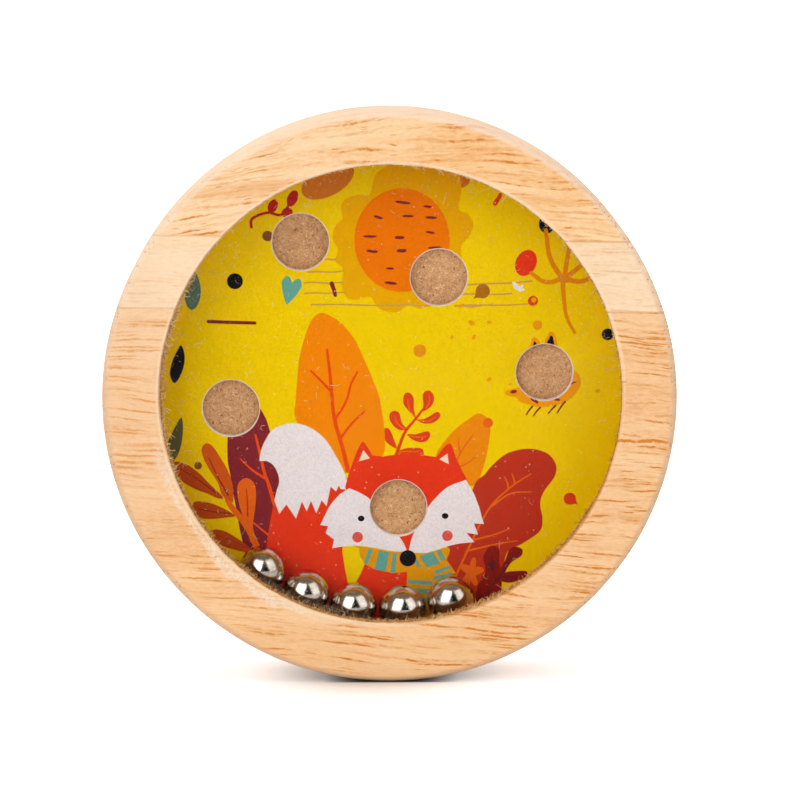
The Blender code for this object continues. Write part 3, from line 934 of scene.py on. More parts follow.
draw("shell", [(8.5, -12.0), (9.9, -11.0), (10.1, -12.8)])
draw("white",
     open_curve([(-6.7, -16.9), (-4.9, -17.7), (-3.1, -18.9), (-1.0, -21.6), (1.2, -24.5),
                 (2.4, -26.2), (3.15, -27.9)])
     + open_curve([(1.2, -27.8), (-2.1, -27.2), (-4.9, -26.8), (-7.7, -26.9), (-9.6, -27.2)])
     + [(-9.3, -25.7), (-10.7, -24.6), (-10.3, -23.4), (-11.6, -23.2)]
     + open_curve([(-11.0, -21.9), (-9.9, -19.8), (-8.3, -17.9)]))
draw("white",
     open_curve([(13.0, -15.5), (10.0, -16.7), (7.8, -18.7), (6.5, -20.4), (5.0, -23.2),
                 (3.9, -25.4), (3.3, -27.9)])
     + open_curve([(6.2, -28.1), (8.9, -27.2), (11.7, -26.5), (14.5, -26.2)])
     + [(13.1, -24.6), (15.1, -24.9), (14.4, -23.0), (16.1, -23.1)]
     + open_curve([(15.7, -21.9), (15.3, -20.3), (14.4, -17.9)]))
for x, z in ((-4.7, -22.1), (9.5, -21.7)):
    oval("ink", x, z, 0.56, 0.50, 0, 20)
for x, z in ((-5.3, -25.3), (9.9, -25.1)):
    oval("blush", x, z, 0.90, 0.92, 0, 24)
# fox: scarf, its stripes and the nose
draw("scarf", closed_curve([(-5.1, -27.2), (-4.4, -26.9), (-1.0, -27.5), (2.8, -28.0),
                            (6.7, -28.0), (10.0, -27.1), (10.2, -28.2), (9.8, -29.3),
                            (10.4, -31.9)], 3)[:24]
     + [(10.4, -31.9), (10.6, -34.4), (11.0, -41.2), (6.6, -41.2), (3.0, -38.0), (3.0, -33.3),
        (3.1, -31.3), (0.6, -31.5), (-2.7, -30.7), (-4.2, -29.9), (-4.9, -28.5)])
for outline in (
        ((-3.5, -27.3), (-2.7, -27.5), (-3.7, -30.1), (-4.2, -29.7)),
        ((-1.7, -27.6), (0.1, -27.9), (-0.6, -31.25), (-2.5, -30.8)),
        ((0.7, -28.0), (1.3, -28.1), (1.1, -31.4), (0.2, -31.4)),
        ((4.2, -29.0), (4.6, -28.9), (5.4, -30.3), (4.9, -30.7)),
        ((5.2, -28.6), (7.4, -27.8), (8.7, -29.9), (6.4, -30.5)),
        ((8.0, -27.6), (8.8, -27.5), (9.6, -29.2), (8.8, -29.4)),
        ((7.7, -31.1), (10.3, -30.2), (10.5, -30.6), (7.8, -31.8)),
        ((7.6, -32.1), (10.6, -31.4), (10.8, -31.8), (7.7, -32.7)),
        ((3.1, -32.7), (7.4, -32.9), (7.4, -33.6), (3.1, -33.3)),
        ((3.1, -34.1), (7.0, -34.3), (7.0, -35.0), (3.1, -34.8)),
        ((3.1, -35.6), (7.0, -35.8), (7.0, -36.5), (3.1, -36.3)),
        ((7.4, -36.6), (10.8, -35.9), (10.9, -36.6), (7.5, -37.3))):
    draw("teal", outline)
oval("ink", 3.2, -28.95, 1.40, 1.40, 0, 32)

# berry twig and small oak leaf, lower right
for outline in (
        ((18.6, -31.6), (19.6, -29.6), (20.3, -27.7), (21.4, -27.0), (22.6, -27.5),
         (22.4, -28.6), (20.9, -29.6), (20.0, -30.8), (19.4, -32.2)),
        ((18.9, -32.3), (19.9, -31.4), (21.4, -31.2), (23.2, -31.2), (23.5, -31.9),
         (22.7, -32.6), (20.6, -33.2), (19.2, -33.0)),
        ((18.9, -35.4), (17.2, -36.8), (14.9, -36.4), (15.0, -34.0), (16.4, -31.3),
         (16.0, -28.8), (17.2, -26.9), (18.6, -27.4), (18.7, -29.7), (19.1, -32.2))):
    blob("berry", outline, 5)
line("plum", [(16.2, -36.2), (17.6, -33.6), (18.9, -31.9), (20.4, -29.4), (21.6, -28.0)],
     0.34, 0.2)
line("plum", [(18.9, -32.2), (20.6, -32.2), (22.4, -31.9)], 0.26, 0.16)
line("plum", [(18.2, -33.0), (17.6, -30.6), (17.4, -28.4)], 0.26, 0.16)
oval("plum", 17.4, -30.2, 0.8, 0.8, 0, 20)
OAK = [((1.50 + 0.60 * math.cos(5 * t)) * math.sin(t), (2.0 + 0.62 * math.cos(5 * t)) * math.cos(t))
       for t in (2 * math.pi * i / 84 for i in range(84))]
draw("burnt", turn(OAK, 14.0, -31.4, -10, 1.0, 1.0))
line("ember", [(13.5, -34.0), (13.9, -31.6), (14.2, -30.0)], 0.24, 0.14)


# ---------------------------------------------------------------- card piece
def circle(x, z, radius, count):
    return [(x + radius * math.cos(2 * math.pi * i / count),
             z + radius * math.sin(2 * math.pi * i / count)) for i in range(count)]


def inside(points, outline):
    """Which points lie inside an outline (winding number)."""
    x, z = points[:, 0], points[:, 1]
    winding = np.zeros(len(points), int)
    for (x0, z0), (x1, z1) in zip(outline, outline[1:] + outline[:1]):
        left = (x1 - x0) * (z - z0) - (x - x0) * (z1 - z0)
        winding += ((z0 <= z) & (z1 > z) & (left > 0)).astype(int)
        winding -= ((z0 > z) & (z1 <= z) & (left < 0)).astype(int)
    return winding != 0


def artwork_triangles():
    """The card face cut along every outline: points, triangles and the ink number of each
    triangle (0 is the ground, -1 is outside the card or in a hole)."""
    outline = circle(0, 0, CARD_R, 256)
    rims = [circle(x, z, HOLE_R + HOLE_EDGE, 96) for x, z in HOLES]
    verts, edges = [], []
    for points in [outline] + [points for _, points in shapes] + rims:
        first, count = len(verts), len(points)
        edges += [(first + i, first + (i + 1) % count) for i in range(count)]
        verts += [Vector(point) for point in points]
    points, _, triangles, _, _, _ = geometry.delaunay_2d_cdt(verts, edges, [], 0, 1e-5, False)
    middles = np.array([[sum(points[i][axis] for i in triangle) / 3 for axis in (0, 1)]
                        for triangle in triangles])
    ink_of = np.zeros(len(triangles), int)
    for i, (_, shape) in enumerate(shapes):
        ink_of[inside(middles, shape)] = i + 1
    ink_of[~inside(middles, outline)] = -1
    for rim in rims:
        ink_of[inside(middles, rim)] = -1
    return points, triangles, ink_of


def add_card_face(bm):
    layer = bm.loops.layers.float_color.new("ink")
    inks = [INK["ground"]] + [ink for ink, _ in shapes]
    points, triangles, ink_of = artwork_triangles()
    made = {}
    for triangle, ink in zip(triangles, ink_of):
        if ink < 0:
            continue
        for i in triangle:
            if i not in made:
                made[i] = bm.verts.new((points[i][0] * MM, CARD_Y0 * MM, points[i][1] * MM))
        # the triangulation may repeat a triangle, which bmesh refuses
        try:
            face = bm.faces.new([made[i] for i in triangle])
        except ValueError:
            continue
        for loop in face.loops:
            loop[layer] = (*inks[ink], 1.0)
    bmesh.ops.remove_doubles(bm, verts=bm.verts, dist=2e-7)
    bmesh.ops.dissolve_degenerate(bm, edges=bm.edges, dist=2e-7)
    bm.normal_update()
    for face in bm.faces:
        if face.normal.y > 0:
            face.normal_flip()


def hole_at(place):
    """The centre of the hole whose edge runs through a place, or None."""
    for x, z in HOLES:
        if abs(math.hypot(place.x / MM - x, place.z / MM - z) - HOLE_R - HOLE_EDGE) < 0.05:
            return x, z
    return None


def wall_chain(bm, vert):
    """Vertices from the card face back along a wall; holes get a ragged bevel."""
    hole = hole_at(vert.co)
    thickness = CARD_Y1 - CARD_Y0
    # outward offset, distance back
    stations = [(0.0, thickness)]
    ragged = 0.0
    if hole:
        stations = [(-HOLE_EDGE * 0.55, 0.05), (-HOLE_EDGE, 0.16), (-HOLE_EDGE, thickness)]
        ragged = 0.03 * noise.noise(vert.co * 2600)
    x, z = hole or (0.0, 0.0)
    outward = Vector((vert.co.x - x * MM, 0, vert.co.z - z * MM)).normalized()
    return [vert] + [
        bm.verts.new(vert.co + outward * (offset + ragged) * MM + Vector((0, depth * MM, 0)))
        for offset, depth in stations]


def card_mesh():
    """Printed front face, bevelled hole edges, walls and back: one closed body."""
    bm = bmesh.new()
    add_card_face(bm)
    boundary = [edge for edge in bm.edges if len(edge.link_faces) == 1]
    chains = {}
    for edge in boundary:
        for vert in edge.verts:
            if vert not in chains:
                chains[vert] = wall_chain(bm, vert)
    for edge in boundary:
        here, there = (chains[vert] for vert in edge.verts)
        for i in range(len(here) - 1):
            face = bm.faces.new((here[i], there[i], there[i + 1], here[i + 1]))
            face.material_index = 1
    open_edges = [edge for edge in bm.edges if len(edge.link_faces) == 1]
    made = bmesh.ops.triangle_fill(bm, use_beauty=True, use_dissolve=False, edges=open_edges)
    for item in made["geom"]:
        if isinstance(item, bmesh.types.BMFace):
            item.material_index = 1
    return finish_mesh("printed_card", bm)


def print_material():
    shader = material_shader("printed_card")
    point = shader.point()
    ink = shader.add("ShaderNodeAttribute", out="Color", attribute_name="ink")
    grain = point.noise(scale=2.8, detail=3, roughness=0.75)
    cloud = point.noise(scale=0.22, detail=2, roughness=0.5)
    fibre = (point * (2.0, 2.0, 9.0)).noise(detail=2, roughness=0.5)
    value = grain.remap((0.3, 0.7), (0.90, 1.13)) + (cloud - 0.5) * 0.10
    value = value + (fibre - 0.5) * 0.05
    colour = ink * shader.vector(value, value, value)
    speck = point.voronoi(scale=0.62).fall(0.05, 0.10)
    colour = (speck * 0.55).mix(colour, srgb(250, 232, 190))
    return shader.principled(
        Base_Color=colour, Roughness=grain.remap((0.3, 0.7), (0.42, 0.60)),
        Specular_IOR_Level=0.02,
        Normal=(grain + speck * 1.5).bump(strength=0.25, distance=0.00003))


def paper_material():
    shader = material_shader("paper_core")
    fibre = (shader.point() * (4.0, 9.0, 4.0)).noise(detail=3, roughness=0.65)
    return shader.principled(
        Base_Color=fibre.ramp([(0.25, srgb(222, 204, 196)), (0.7, srgb(252, 244, 242))]),
        Roughness=fibre.remap((0.3, 0.7), (0.75, 0.95)),
        Normal=fibre.bump(strength=0.5, distance=0.00008))


printed_card = card_mesh()
add_object("printed_card", printed_card, print_material(), replaces="play_card")
printed_card.materials.append(paper_material())
shade(printed_card, 50)


# ---------------------------------------------------- back board and window
def fibreboard():
    """Raw fibreboard: short curly fibres, pale and dark, and a few dark chips."""
    shader = material_shader("fibreboard")
    point = shader.point()
    warp = point.noise(scale=1.1, detail=2, roughness=0.5, out="Color")
    warped = point + (warp - (0.5, 0.5, 0.5)) * 1.6

    def strand(angle, along, across, rarity, width):
        cell = warped.turned(angle) * (along * 1.25, 1.9, across * 1.3)
        chance = cell.voronoi(out="Color").parts("Color")[0]
        return cell.voronoi().fall(0.16, width) * chance.step(rarity, rarity + 0.1)

    light = strand(0.4, 0.75, 3.6, 0.40, 0.38).max(strand(1.5, 0.8, 3.3, 0.45, 0.36))
    light = light.max(strand(2.5, 0.7, 3.8, 0.40, 0.38))
    dark = strand(0.9, 0.8, 3.2, 0.50, 0.36).max(strand(2.1, 0.9, 3.6, 0.55, 0.36))
    broad = point.noise(scale=0.8, detail=3, roughness=0.55)
    fine = warped.noise(scale=5.8, detail=4, roughness=0.75)
    colour = (fine * 0.80 + broad * 0.25).ramp([
        (0.36, srgb(176, 116, 74)), (0.52, srgb(216, 162, 114)), (0.68, srgb(242, 194, 146))])
    colour = (dark * 0.60).mix(colour, srgb(140, 88, 52))
    colour = (light * 0.70).mix(colour, srgb(255, 222, 176))
    chip = warped.voronoi(scale=0.95).fall(0.10, 0.17) * 0.80
    colour = chip.mix(colour, srgb(96, 56, 34))
    height = fine * 0.7 + light * 0.6 - dark * 0.4
    return shader.principled(
        Base_Color=colour, Roughness=fine.remap((0.3, 0.7), (0.78, 0.95)),
        Specular_IOR_Level=0.1, Normal=height.bump(strength=0.55, distance=0.00010))


def acrylic():
    """A clear pane with a faint reflection, hairline scratches and a haze of dust."""
    shader = material_shader("clear_acrylic")
    point = shader.point()
    scratch = (point.turned(0.6) * (0.04, 1.0, 1.6)).noise(detail=1, roughness=0.5)
    scratch = abs(scratch - 0.5).fall(0.0008, 0.0022)
    scratch = scratch * point.noise(scale=0.16, detail=2, roughness=0.5).step(0.52, 0.66)
    dust = point.voronoi(scale=0.9).fall(0.03, 0.06) * 0.35
    haze = point.noise(scale=0.05, detail=3, roughness=0.6).step(0.45, 0.75) * 0.003
    veil = ((scratch * 0.10).max(dust) + haze).clamped()
    clear = shader.add("ShaderNodeBsdfTransparent", {"Color": (0.992, 0.996, 0.990)})
    gloss = shader.add("ShaderNodeBsdfGlossy", {"Color": (1.0, 1.0, 1.0), "Roughness": 0.03})
    powder = shader.add("ShaderNodeBsdfDiffuse", {"Color": (0.88, 0.84, 0.76)})
    fresnel = shader.add("ShaderNodeFresnel", {"IOR": 1.45})
    seen = shader.add("ShaderNodeLightPath", out="Is Camera Ray")
    # the reflection is fainter to the camera than to other rays
    other_shine = 0.09
    shine = other_shine + seen * (fresnel.remap((0.035, 0.16), (0.04, 0.07)) - other_shine)
    glass = shader.add("ShaderNodeMixShader", {0: fresnel * shine, 1: clear, 2: gloss})
    return shader.surface(shader.add("ShaderNodeMixShader", {0: veil, 1: glass, 2: powder}))


def turned_solid(name, section, segments):
    """A solid of revolution about Y from its outline (radius, y), axis first and last."""
    bm = bmesh.new()
    first = bm.verts.new((0, section[0][1] * MM, 0))
    last = bm.verts.new((0, section[-1][1] * MM, 0))
    rows = []
    for i in range(segments):
        t = 2 * math.pi * i / segments
        rows.append([bm.verts.new((r * MM * math.cos(t), y * MM, r * MM * math.sin(t)))
                     for r, y in section[1:-1]])
    for i in range(segments):
        here, there = rows[i], rows[(i + 1) % segments]
        bm.faces.new((first, here[0], there[0]))
        for j in range(len(here) - 1):
            bm.faces.new((here[j], here[j + 1], there[j + 1], there[j]))
        bm.faces.new((here[-1], last, there[-1]))
    mesh = finish_mesh(name, bm)
    shade(mesh, 30)
    return mesh


BOARD_SECTION = [
    (0, BACK_Y0), (BOARD_R * 0.5, BACK_Y0), (BOARD_R, BACK_Y0), (BOARD_R, BACK_Y1 - 0.3),
    (BOARD_R - 0.09, BACK_Y1 - 0.09), (BOARD_R - 0.3, BACK_Y1), (BOARD_R * 0.5, BACK_Y1),
    (0, BACK_Y1)]
add_object("fibre_back", turned_solid("fibre_back", BOARD_SECTION, 256), fibreboard(),
           replaces="back_board")
WINDOW_SECTION = [
    (0, WINDOW_Y0), (WINDOW_R * 0.5, WINDOW_Y0), (WINDOW_R - 0.2, WINDOW_Y0),
    (WINDOW_R, WINDOW_Y0 + 0.2), (WINDOW_R, WINDOW_Y1 - 0.2), (WINDOW_R - 0.2, WINDOW_Y1),
    (WINDOW_R * 0.5, WINDOW_Y1), (0, WINDOW_Y1)]
add_object("window_pane", turned_solid("window_pane", WINDOW_SECTION, 192), acrylic(),
           replaces="window")


# --------------------------------------------------------------- steel balls
def steel():
    shader = material_shader("polished_steel")
    point = shader.point()
    film = point.noise(scale=0.45, detail=3, roughness=0.6)
    fine = point.noise(scale=5.0, detail=4, roughness=0.7)
    scuff = (point * (0.8, 0.8, 5.0)).noise(detail=4, roughness=0.75)
    colour = film.ramp([(0.3, srgb(176, 164, 152)), (0.7, srgb(214, 206, 198))])
    colour = (scuff.step(0.52, 0.68) * 0.45).mix(colour, srgb(132, 116, 102))
    pits = point.voronoi(scale=1.6).fall(0.08, 0.20)
    colour = (pits * 0.55).mix(colour, srgb(104, 88, 74))
    return shader.principled(
        Base_Color=colour, Metallic=1.0,
        Roughness=scuff.remap((0.35, 0.70), (0.06, 0.18)) + pits * 0.2,
        Normal=(fine + pits * -1.0).bump(strength=0.25, distance=0.00004))


def ball_mesh(name, centre, radius):
    """A ball from a subdivided cube, with faint unevenness from lapping."""
    bm = bmesh.new()
    bmesh.ops.create_cube(bm, size=2.0)
    bmesh.ops.subdivide_edges(bm, edges=bm.edges[:], cuts=23, use_grid_fill=True)
    for vert in bm.verts:
        outward = Vector([math.tan(c * math.pi / 4) for c in vert.co]).normalized()
        lap = (0.0012 * noise.noise(outward * 3.0 + centre * 400)
               + 0.0006 * noise.noise(outward * 9.0))
        vert.co = centre + outward * radius * (1.0 + lap * 0.5)
    mesh = finish_mesh(name, bm)
    mesh.shade_smooth()
    return mesh


steel_material = steel()
ball_centres = []
for i in range(1, 6):
    ball_lo, ball_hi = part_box(f"ball_{i}")
    centre, radius = (ball_lo + ball_hi) / 2, (ball_hi.y - ball_lo.y) / 2
    ball_centres.append(tuple(centre / MM))
    add_object(f"steel_ball_{i}", ball_mesh(f"steel_ball_{i}", centre, radius), steel_material,
               body=f"ball_{i}", replaces=f"ball_{i}")


# ------------------------------------------------------------- fuzz and dust
def add_threads(name, threads, material):
    """Thin three-sided closed threads in one mesh; threads are (path, radius, tone)."""
    verts, faces, tones = [], [], []
    for path, radius, tone in threads:
        middle = np.array(path, float)
        count = len(middle)
        run = np.gradient(middle, axis=0)
        run /= np.linalg.norm(run, axis=1)[:, None] + 1e-12
        helper = np.array((0.3, 1.0, 0.2) if abs(run[0][1]) < 0.9 else (1.0, 0.1, 0.2))
        side = np.cross(run, helper)
        side /= np.linalg.norm(side, axis=1)[:, None] + 1e-12
        other = np.cross(run, side)
        base = len(verts)
        for j in range(count):
            width = radius * (1.0 - 0.55 * j / (count - 1))
            for s in range(3):
                t = 2 * math.pi * s / 3
                verts.append((middle[j] + width * (side[j] * math.cos(t)
                                                   + other[j] * math.sin(t))) * MM)
        for j in range(count - 1):
            for s in range(3):
                here = base + j * 3 + s
                there = base + j * 3 + (s + 1) % 3
                faces.append((here, there, there + 3, here + 3))
        faces.append((base + 2, base + 1, base))
        faces.append((base + 3 * count - 3, base + 3 * count - 2, base + 3 * count - 1))
        tones += [tone] * (3 * (count - 1) + 2)
    mesh = bpy.data.meshes.new(name)
    mesh.from_pydata([tuple(v) for v in verts], [], faces)
    layer = mesh.attributes.new("tone", "FLOAT", "FACE")
    layer.data.foreach_set("value", np.array(tones, np.float32))
    mesh.shade_smooth()
    add_object(name, mesh, material)


def fuzz_material(name, dark, middle, pale):
    shader = material_shader(name)
    tone = shader.add("ShaderNodeAttribute", out="Fac", attribute_name="tone")
    grain = shader.point().noise(scale=3.0, detail=2, roughness=0.6)
    shade_of = (tone + (grain - 0.5) * 0.25).clamped()
    return shader.principled(
        Base_Color=shade_of.ramp([(0.0, dark), (0.5, middle), (1.0, pale)]),
        Roughness=grain.remap((0.3, 0.7), (0.7, 0.95)),
        Normal=grain.bump(strength=0.3, distance=0.00003))


wood_fuzz = fuzz_material("wood_fibres", srgb(170, 104, 40), srgb(230, 180, 104),
                          srgb(255, 236, 190))
dust_fuzz = fuzz_material("dust_fibres", srgb(150, 118, 62), srgb(218, 186, 116),
                          srgb(250, 238, 206))
lint_fuzz = fuzz_material("grey_lint", srgb(70, 44, 30), srgb(140, 104, 76), srgb(244, 222, 192))

rng = np.random.default_rng(5)


def curl(start, heading, length, bend, count, flat=None):
    """A wandering thread; flat is the y range it must keep to."""
    place = np.array(start, float)
    heading = np.array(heading, float)
    heading /= np.linalg.norm(heading) + 1e-9
    out = [tuple(place)]
    twist = rng.normal(0, bend, 3)
    for _ in range(count - 1):
        heading = heading + np.cross(twist, heading) / count + rng.normal(0, 0.16, 3)
        if flat is not None:
            heading[1] *= 0.1
        heading /= np.linalg.norm(heading) + 1e-9
        place = place + heading * length / (count - 1)
        if flat is not None:
            place[1] = min(max(place[1], flat[0]), flat[1])
        out.append(tuple(place))
    return out


def polar(angle, radius, centre_x=0.0, centre_z=0.0):
    return centre_x + radius * math.cos(angle), centre_z + radius * math.sin(angle)


def mouth_heading(angle, inward_range, along_range, back_range):
    """A random direction off the mouth's wall, towards its middle and along it."""
    inward = np.array((-math.cos(angle), 0, -math.sin(angle)))
    along = np.array((-math.sin(angle), 0, math.cos(angle))) * rng.choice((-1, 1))
    return (inward * rng.uniform(*inward_range) + along * rng.uniform(*along_range)
            + np.array((0, rng.uniform(*back_range), 0)))


def between(path, low, high):
    return [point for point in path if low < point[1] < high]


def hole_distance(x, z):
    return min(math.hypot(x - hole_x, z - hole_z) for hole_x, hole_z in HOLES)


def lip_threads():
    threads = []
    # fine torn fibres on the wall of the mouth
    for _ in range(9000):
        angle = math.radians(rng.uniform(0, 360))
        degrees = math.degrees(angle) % 360
        density = (0.14 + 0.80 * (150 < degrees < 240) + 0.50 * (278 < degrees < 330)
                   + 0.45 * (240 <= degrees <= 278) + 0.12 * (degrees < 90))
        if rng.random() > density:
            continue
        y = rng.uniform(FRONT + 0.5, FRONT + LIP)
        x, z = polar(angle, MOUTH_R + 0.03, MOUTH_X, MOUTH_Z)
        heading = mouth_heading(angle, (0.5, 1.4), (0.1, 1.2), (-0.4, 0.5))
        length = rng.gamma(2.0, 0.34 if 150 < degrees < 196 else 0.20) + 0.15
        path = curl((x, y, z), heading, min(length, 2.2), bend=2.0, count=6)
        path = between(path, FRONT + 0.1, FRONT + LIP + 0.2)
        if len(path) >= 3:
            threads.append((path, rng.uniform(0.040, 0.095),
                            rng.uniform(*((0.15, 1.0) if degrees < 200 else (0.0, 0.8)))))
    # coarse splinters at the lower right and lower left
    for _ in range(330):
        degrees = rng.normal(291, 5.5) if rng.random() < 0.62 else rng.normal(206, 12)
        angle = math.radians(degrees)
        x, z = polar(angle, MOUTH_R + 0.06, MOUTH_X, MOUTH_Z)
        heading = mouth_heading(angle, (0.25, 1.0), (0.4, 1.2), (-0.25, 0.25))
        path = curl((x, rng.uniform(FRONT + 0.5, FRONT + 1.9), z), heading,
                    rng.uniform(0.35, 1.15), bend=0.8, count=5)
        path = between(path, FRONT + 0.2, FRONT + LIP + 0.1)
        if len(path) >= 3:
            threads.append((path, rng.uniform(0.08, 0.17), rng.uniform(0.15, 0.80)))
    return threads


def dust_threads():
    """Wood dust on the card and the back of the window, thickest at the chamber's edge."""
    threads = []
    for _ in range(1250):
        angle = rng.uniform(0, 2 * math.pi)
        degrees = math.degrees(angle) % 360
        if ((200 < degrees < 360 and rng.random() < 0.8)
                or (10 < degrees < 125 and rng.random() < 0.5)):
            continue
        at_edge = rng.random() < 0.72
        radius = (MOUTH_R - abs(rng.normal(0, 2.6)) if at_edge
                  else MOUTH_R * math.sqrt(rng.random()))
        on_card = rng.random() < 0.5
        x, z = polar(angle, radius)
        if on_card and hole_distance(x, z) < HOLE_R + 0.8:
            continue
        y = CARD_Y0 - 0.05 if on_card else WINDOW_Y1 + 0.05
        flat = ((CARD_Y0 - 0.09, CARD_Y0 - 0.03) if on_card
                else (WINDOW_Y1 + 0.03, WINDOW_Y1 + 0.09))
        heading = rng.normal(0, 1, 3)
        length = min(rng.gamma(1.6, 0.42) + 0.12, 2.6)
        path = curl((x, y, z), heading, length, bend=3.2, count=8, flat=flat)
        threads.append((path, rng.uniform(0.020, 0.042), rng.uniform(0.45, 1.0)))
    # specks
    for _ in range(950):
        angle = rng.uniform(0, 2 * math.pi)
        if math.degrees(angle) > 220 and rng.random() < 0.6:
            continue
        x, z = polar(angle, MOUTH_R * rng.random() ** 0.35)
        if hole_distance(x, z) < HOLE_R + 0.5:
            continue
        length = rng.uniform(0.06, 0.20)
        path = curl((x, CARD_Y0 - 0.05, z), rng.normal(0, 1, 3), length, bend=1.0, count=3,
                    flat=(CARD_Y0 - 0.08, CARD_Y0 - 0.03))
        threads.append((path, rng.uniform(0.028, 0.060), rng.uniform(0.6, 1.0)))
    return threads


def lint_threads():
    """Lint packed into the bottom of the chamber behind the window, clear of the balls."""
    centres = np.array(ball_centres)
    threads = []
    for _ in range(60000):
        if len(threads) == 5200:
            break
        degrees = rng.normal(250, 16)
        if not 224 < degrees < 292:
            continue
        crest = (37.25 + 1.5 * (abs(degrees - 246) / 30) ** 2
                 + 0.7 * noise.noise(Vector((degrees * 0.13, 0, 0))))
        radius = crest + abs(rng.normal(0, 0.8))
        if radius > 40.6:
            continue
        x, z = polar(math.radians(degrees), radius)
        y = rng.uniform(WINDOW_Y1 + 0.06, WINDOW_Y1 + 2.2)
        length = min(rng.gamma(2.0, 0.22) + 0.1, 1.4)
        path = np.array(curl((x, y, z), rng.normal(0, 1, 3) * (1, 0.5, 1), length,
                             bend=3.0, count=5))
        gap = np.linalg.norm(path[:, None, :] - centres[None], axis=2).min()
        if (gap < 4.06 or path[:, 1].min() < WINDOW_Y1 + 0.03
                or np.hypot(path[:, 0], path[:, 2]).max() > 40.9):
            continue
        threads.append((path, rng.uniform(0.03, 0.085),
                        float(np.clip(rng.normal(0.40, 0.30), 0, 1))))
    return threads


add_threads("lip_fibres", lip_threads(), wood_fuzz)
add_threads("wood_dust", dust_threads(), dust_fuzz)
add_threads("chamber_lint", lint_threads(), lint_fuzz)


# --------------------------------------------------------------------- stage
def bell(value, power):
    """1 at 0, falling away on both sides; a higher power gives a flatter top."""
    return (abs(value) ** power * -1.0).apply("EXPONENT")


def floor_material():
    """White floor with a painted shadow where the rim touches it and painted warm light bounced
    from the wood in front.
    """
    shader = material_shader("floor_white")
    point = shader.point()
    x, y, _ = point.parts("XYZ")
    mottle = point.noise(scale=0.02, detail=2, roughness=0.5)
    far = point.length().step(170.0, 700.0)
    behind = y.fall(9.0, 15.0)
    # half widths: painted shadow left and right, painted contact line, painted warm bounce light
    # across and deep
    left, right, contact, tint_x, tint_y = 14.5, 12.0, 10.5, 13.0, 8.0
    contact_x = 0.0
    # painted shadow: the floor is darkened beside the rim and by a dark line under it
    side_x = x * (1 / left + x.step(-1.0, 1.0) * (1 / right - 1 / left))
    shadow = bell(side_x, 2.6) * (y.step(-15.0, -5.5) * behind)
    painted_contact_line = (bell((x + contact_x) * (1 / contact), 4.0)
                    * (y.step(-10.0, -8.6) * behind))
    painted_contact_shade = 1.0 - (shadow * 0.52).max(painted_contact_line * 0.97)
    # painted warm light bounced from the wood onto the floor in front
    painted_wood_bounce = bell((x + 4.0) * (1 / tint_x), 2.0) * bell((y + 11.0) * (1 / tint_y), 2.0)
    pale = mottle.ramp([(0.3, (0.90, 0.90, 0.90)), (0.7, (0.93, 0.93, 0.93))])
    pale = (painted_wood_bounce * 0.8).mix(pale, srgb(248, 238, 230))
    # the floor glows to the camera only, more so far away, and less where shadow and bounce light
    # are painted
    seen = shader.add("ShaderNodeLightPath", out="Is Camera Ray")
    glow = (0.42 + far * 0.5) * seen * (painted_contact_shade * (1.0 - painted_wood_bounce * 0.72))
    return shader.principled(
        Base_Color=painted_contact_shade.mix((0.0, 0.0, 0.0), pale), Roughness=0.55, Specular_IOR_Level=0.0,
        Emission_Color=(1.0, 1.0, 1.0), Emission_Strength=glow)


def add_floor():
    mesh = bpy.data.meshes.new("floor")
    bm = bmesh.new()
    bmesh.ops.create_grid(bm, x_segments=4, y_segments=4, size=9.0)
    bmesh.ops.translate(bm, verts=bm.verts, vec=(0, 3.0, -OUTER_R * MM))
    bm.to_mesh(mesh)
    bm.free()
    floor = bpy.data.objects.new("floor", mesh)
    scene.collection.objects.link(floor)
    mesh.materials.append(floor_material())


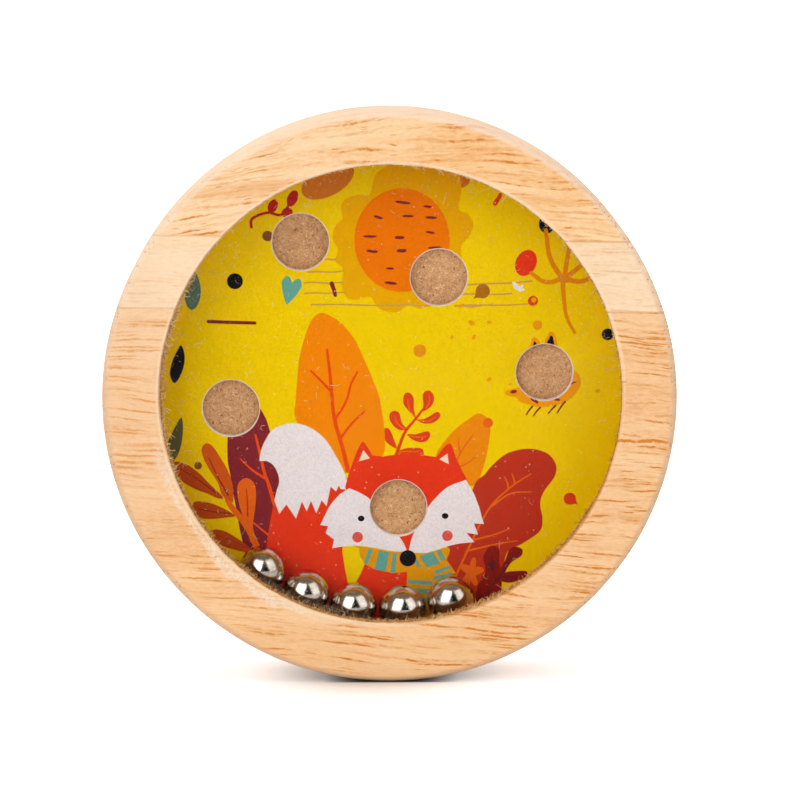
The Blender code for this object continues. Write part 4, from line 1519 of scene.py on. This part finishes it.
def add_world():
    """Even light, a white backdrop, and for shiny surfaces two soft boxes in front with a
    dark wedge between. Angles are in radians."""
    ambient, backdrop = 0.46, 1.05
    left_box, right_box = 3.4, 1.7
    world = bpy.data.worlds.new("studio")
    scene.world = world
    shader = Shader(world, "ShaderNodeOutputWorld")
    x, y, z = shader.add("ShaderNodeTexCoord", out="Generated").parts("XYZ")
    glossy = shader.add("ShaderNodeLightPath", out="Is Glossy Ray")
    toward = y * -1.0
    azimuth = x.apply("ARCTAN2", toward)          # 0 straight in front, + to the right
    elevation = z.apply("ARCSINE")
    half_wedge = elevation.remap((1.10, -0.7), (0.02, 0.62))
    offset = azimuth - 0.22
    left_part = (offset + half_wedge).fall(-0.05, 0.0)
    right_part = (offset - half_wedge).step(0.0, 0.05)
    height = elevation.step(-1.2, -1.1) * elevation.fall(0.85, 1.0)
    width = azimuth.step(-0.95, -0.85) * azimuth.fall(1.20, 1.30)
    pane = height * width
    boxes = pane * (left_part * left_box + right_part * right_box)
    around = toward.step(-0.2, 0.3).remap((0, 1), (0.8, 0.22))
    studio = boxes + around * (1.0 - pane * 0.93)
    level = glossy.mix_value(ambient, studio)
    level = glossy.sibling("Is Camera Ray").mix_value(level, backdrop)
    tint = (glossy * (1.0 - pane)).mix((1.0, 1.0, 1.0), (1.0, 0.84, 0.72))
    shader.surface(shader.add("ShaderNodeBackground", {"Color": tint, "Strength": level}))


# area lights aimed at the origin: name, place (m), size (m), power (W), colour
LIGHTS = (
    ("key_left", (-0.42, -0.80, 0.42), (0.6, 0.6), 3.1, (1.0, 0.985, 0.96)),
    ("fill_right", (0.60, -0.75, 0.30), (0.45, 0.6), 0.9, (0.98, 0.99, 1.0)),
    ("top_soft", (0.0, -0.05, 0.85), (0.8, 0.8), 2.6, (1, 1, 1)),
    ("back_left", (-0.5, 0.85, 0.5), (0.5, 0.6), 3.2, (1, 1, 1)),
    ("back_right", (0.6, 0.8, 0.35), (0.5, 0.6), 2.2, (1, 1, 1)))


def add_light(name, place, size, power, colour):
    data = bpy.data.lights.new(name, "AREA")
    data.shape = "RECTANGLE"
    data.size, data.size_y = size
    data.energy = power
    data.color = colour
    light = bpy.data.objects.new(name, data)
    scene.collection.objects.link(light)
    light.location = place
    light.rotation_euler = (-Vector(place)).to_track_quat("-Z", "Y").to_euler()
    light.visible_glossy = False


def add_camera():
    azimuth, elevation = math.radians(-0.705), math.radians(7.956)
    distance = 0.6423                             # metres from the origin
    aim_right, aim_down = 0.001806657, 0.001254623    # aim beside the origin, metres
    outward = Vector((math.sin(azimuth) * math.cos(elevation),
                      -math.cos(azimuth) * math.cos(elevation), math.sin(elevation)))
    eye = outward * distance
    right = (-outward).cross(Vector((0, 0, 1))).normalized()
    up = right.cross(-outward)
    aim = right * aim_right - up * aim_down
    data = bpy.data.cameras.new("camera")
    data.sensor_width = 36.0
    data.lens = 172.782
    data.clip_start, data.clip_end = 0.01, 50.0
    camera = bpy.data.objects.new("camera", data)
    scene.collection.objects.link(camera)
    camera.location = eye
    camera.rotation_euler = (aim - eye).to_track_quat("-Z", "Y").to_euler()
    scene.camera = camera


add_floor()
add_world()
for light in LIGHTS:
    add_light(*light)
add_camera()
scene.view_settings.view_transform = "Standard"
scene.view_settings.look = "None"
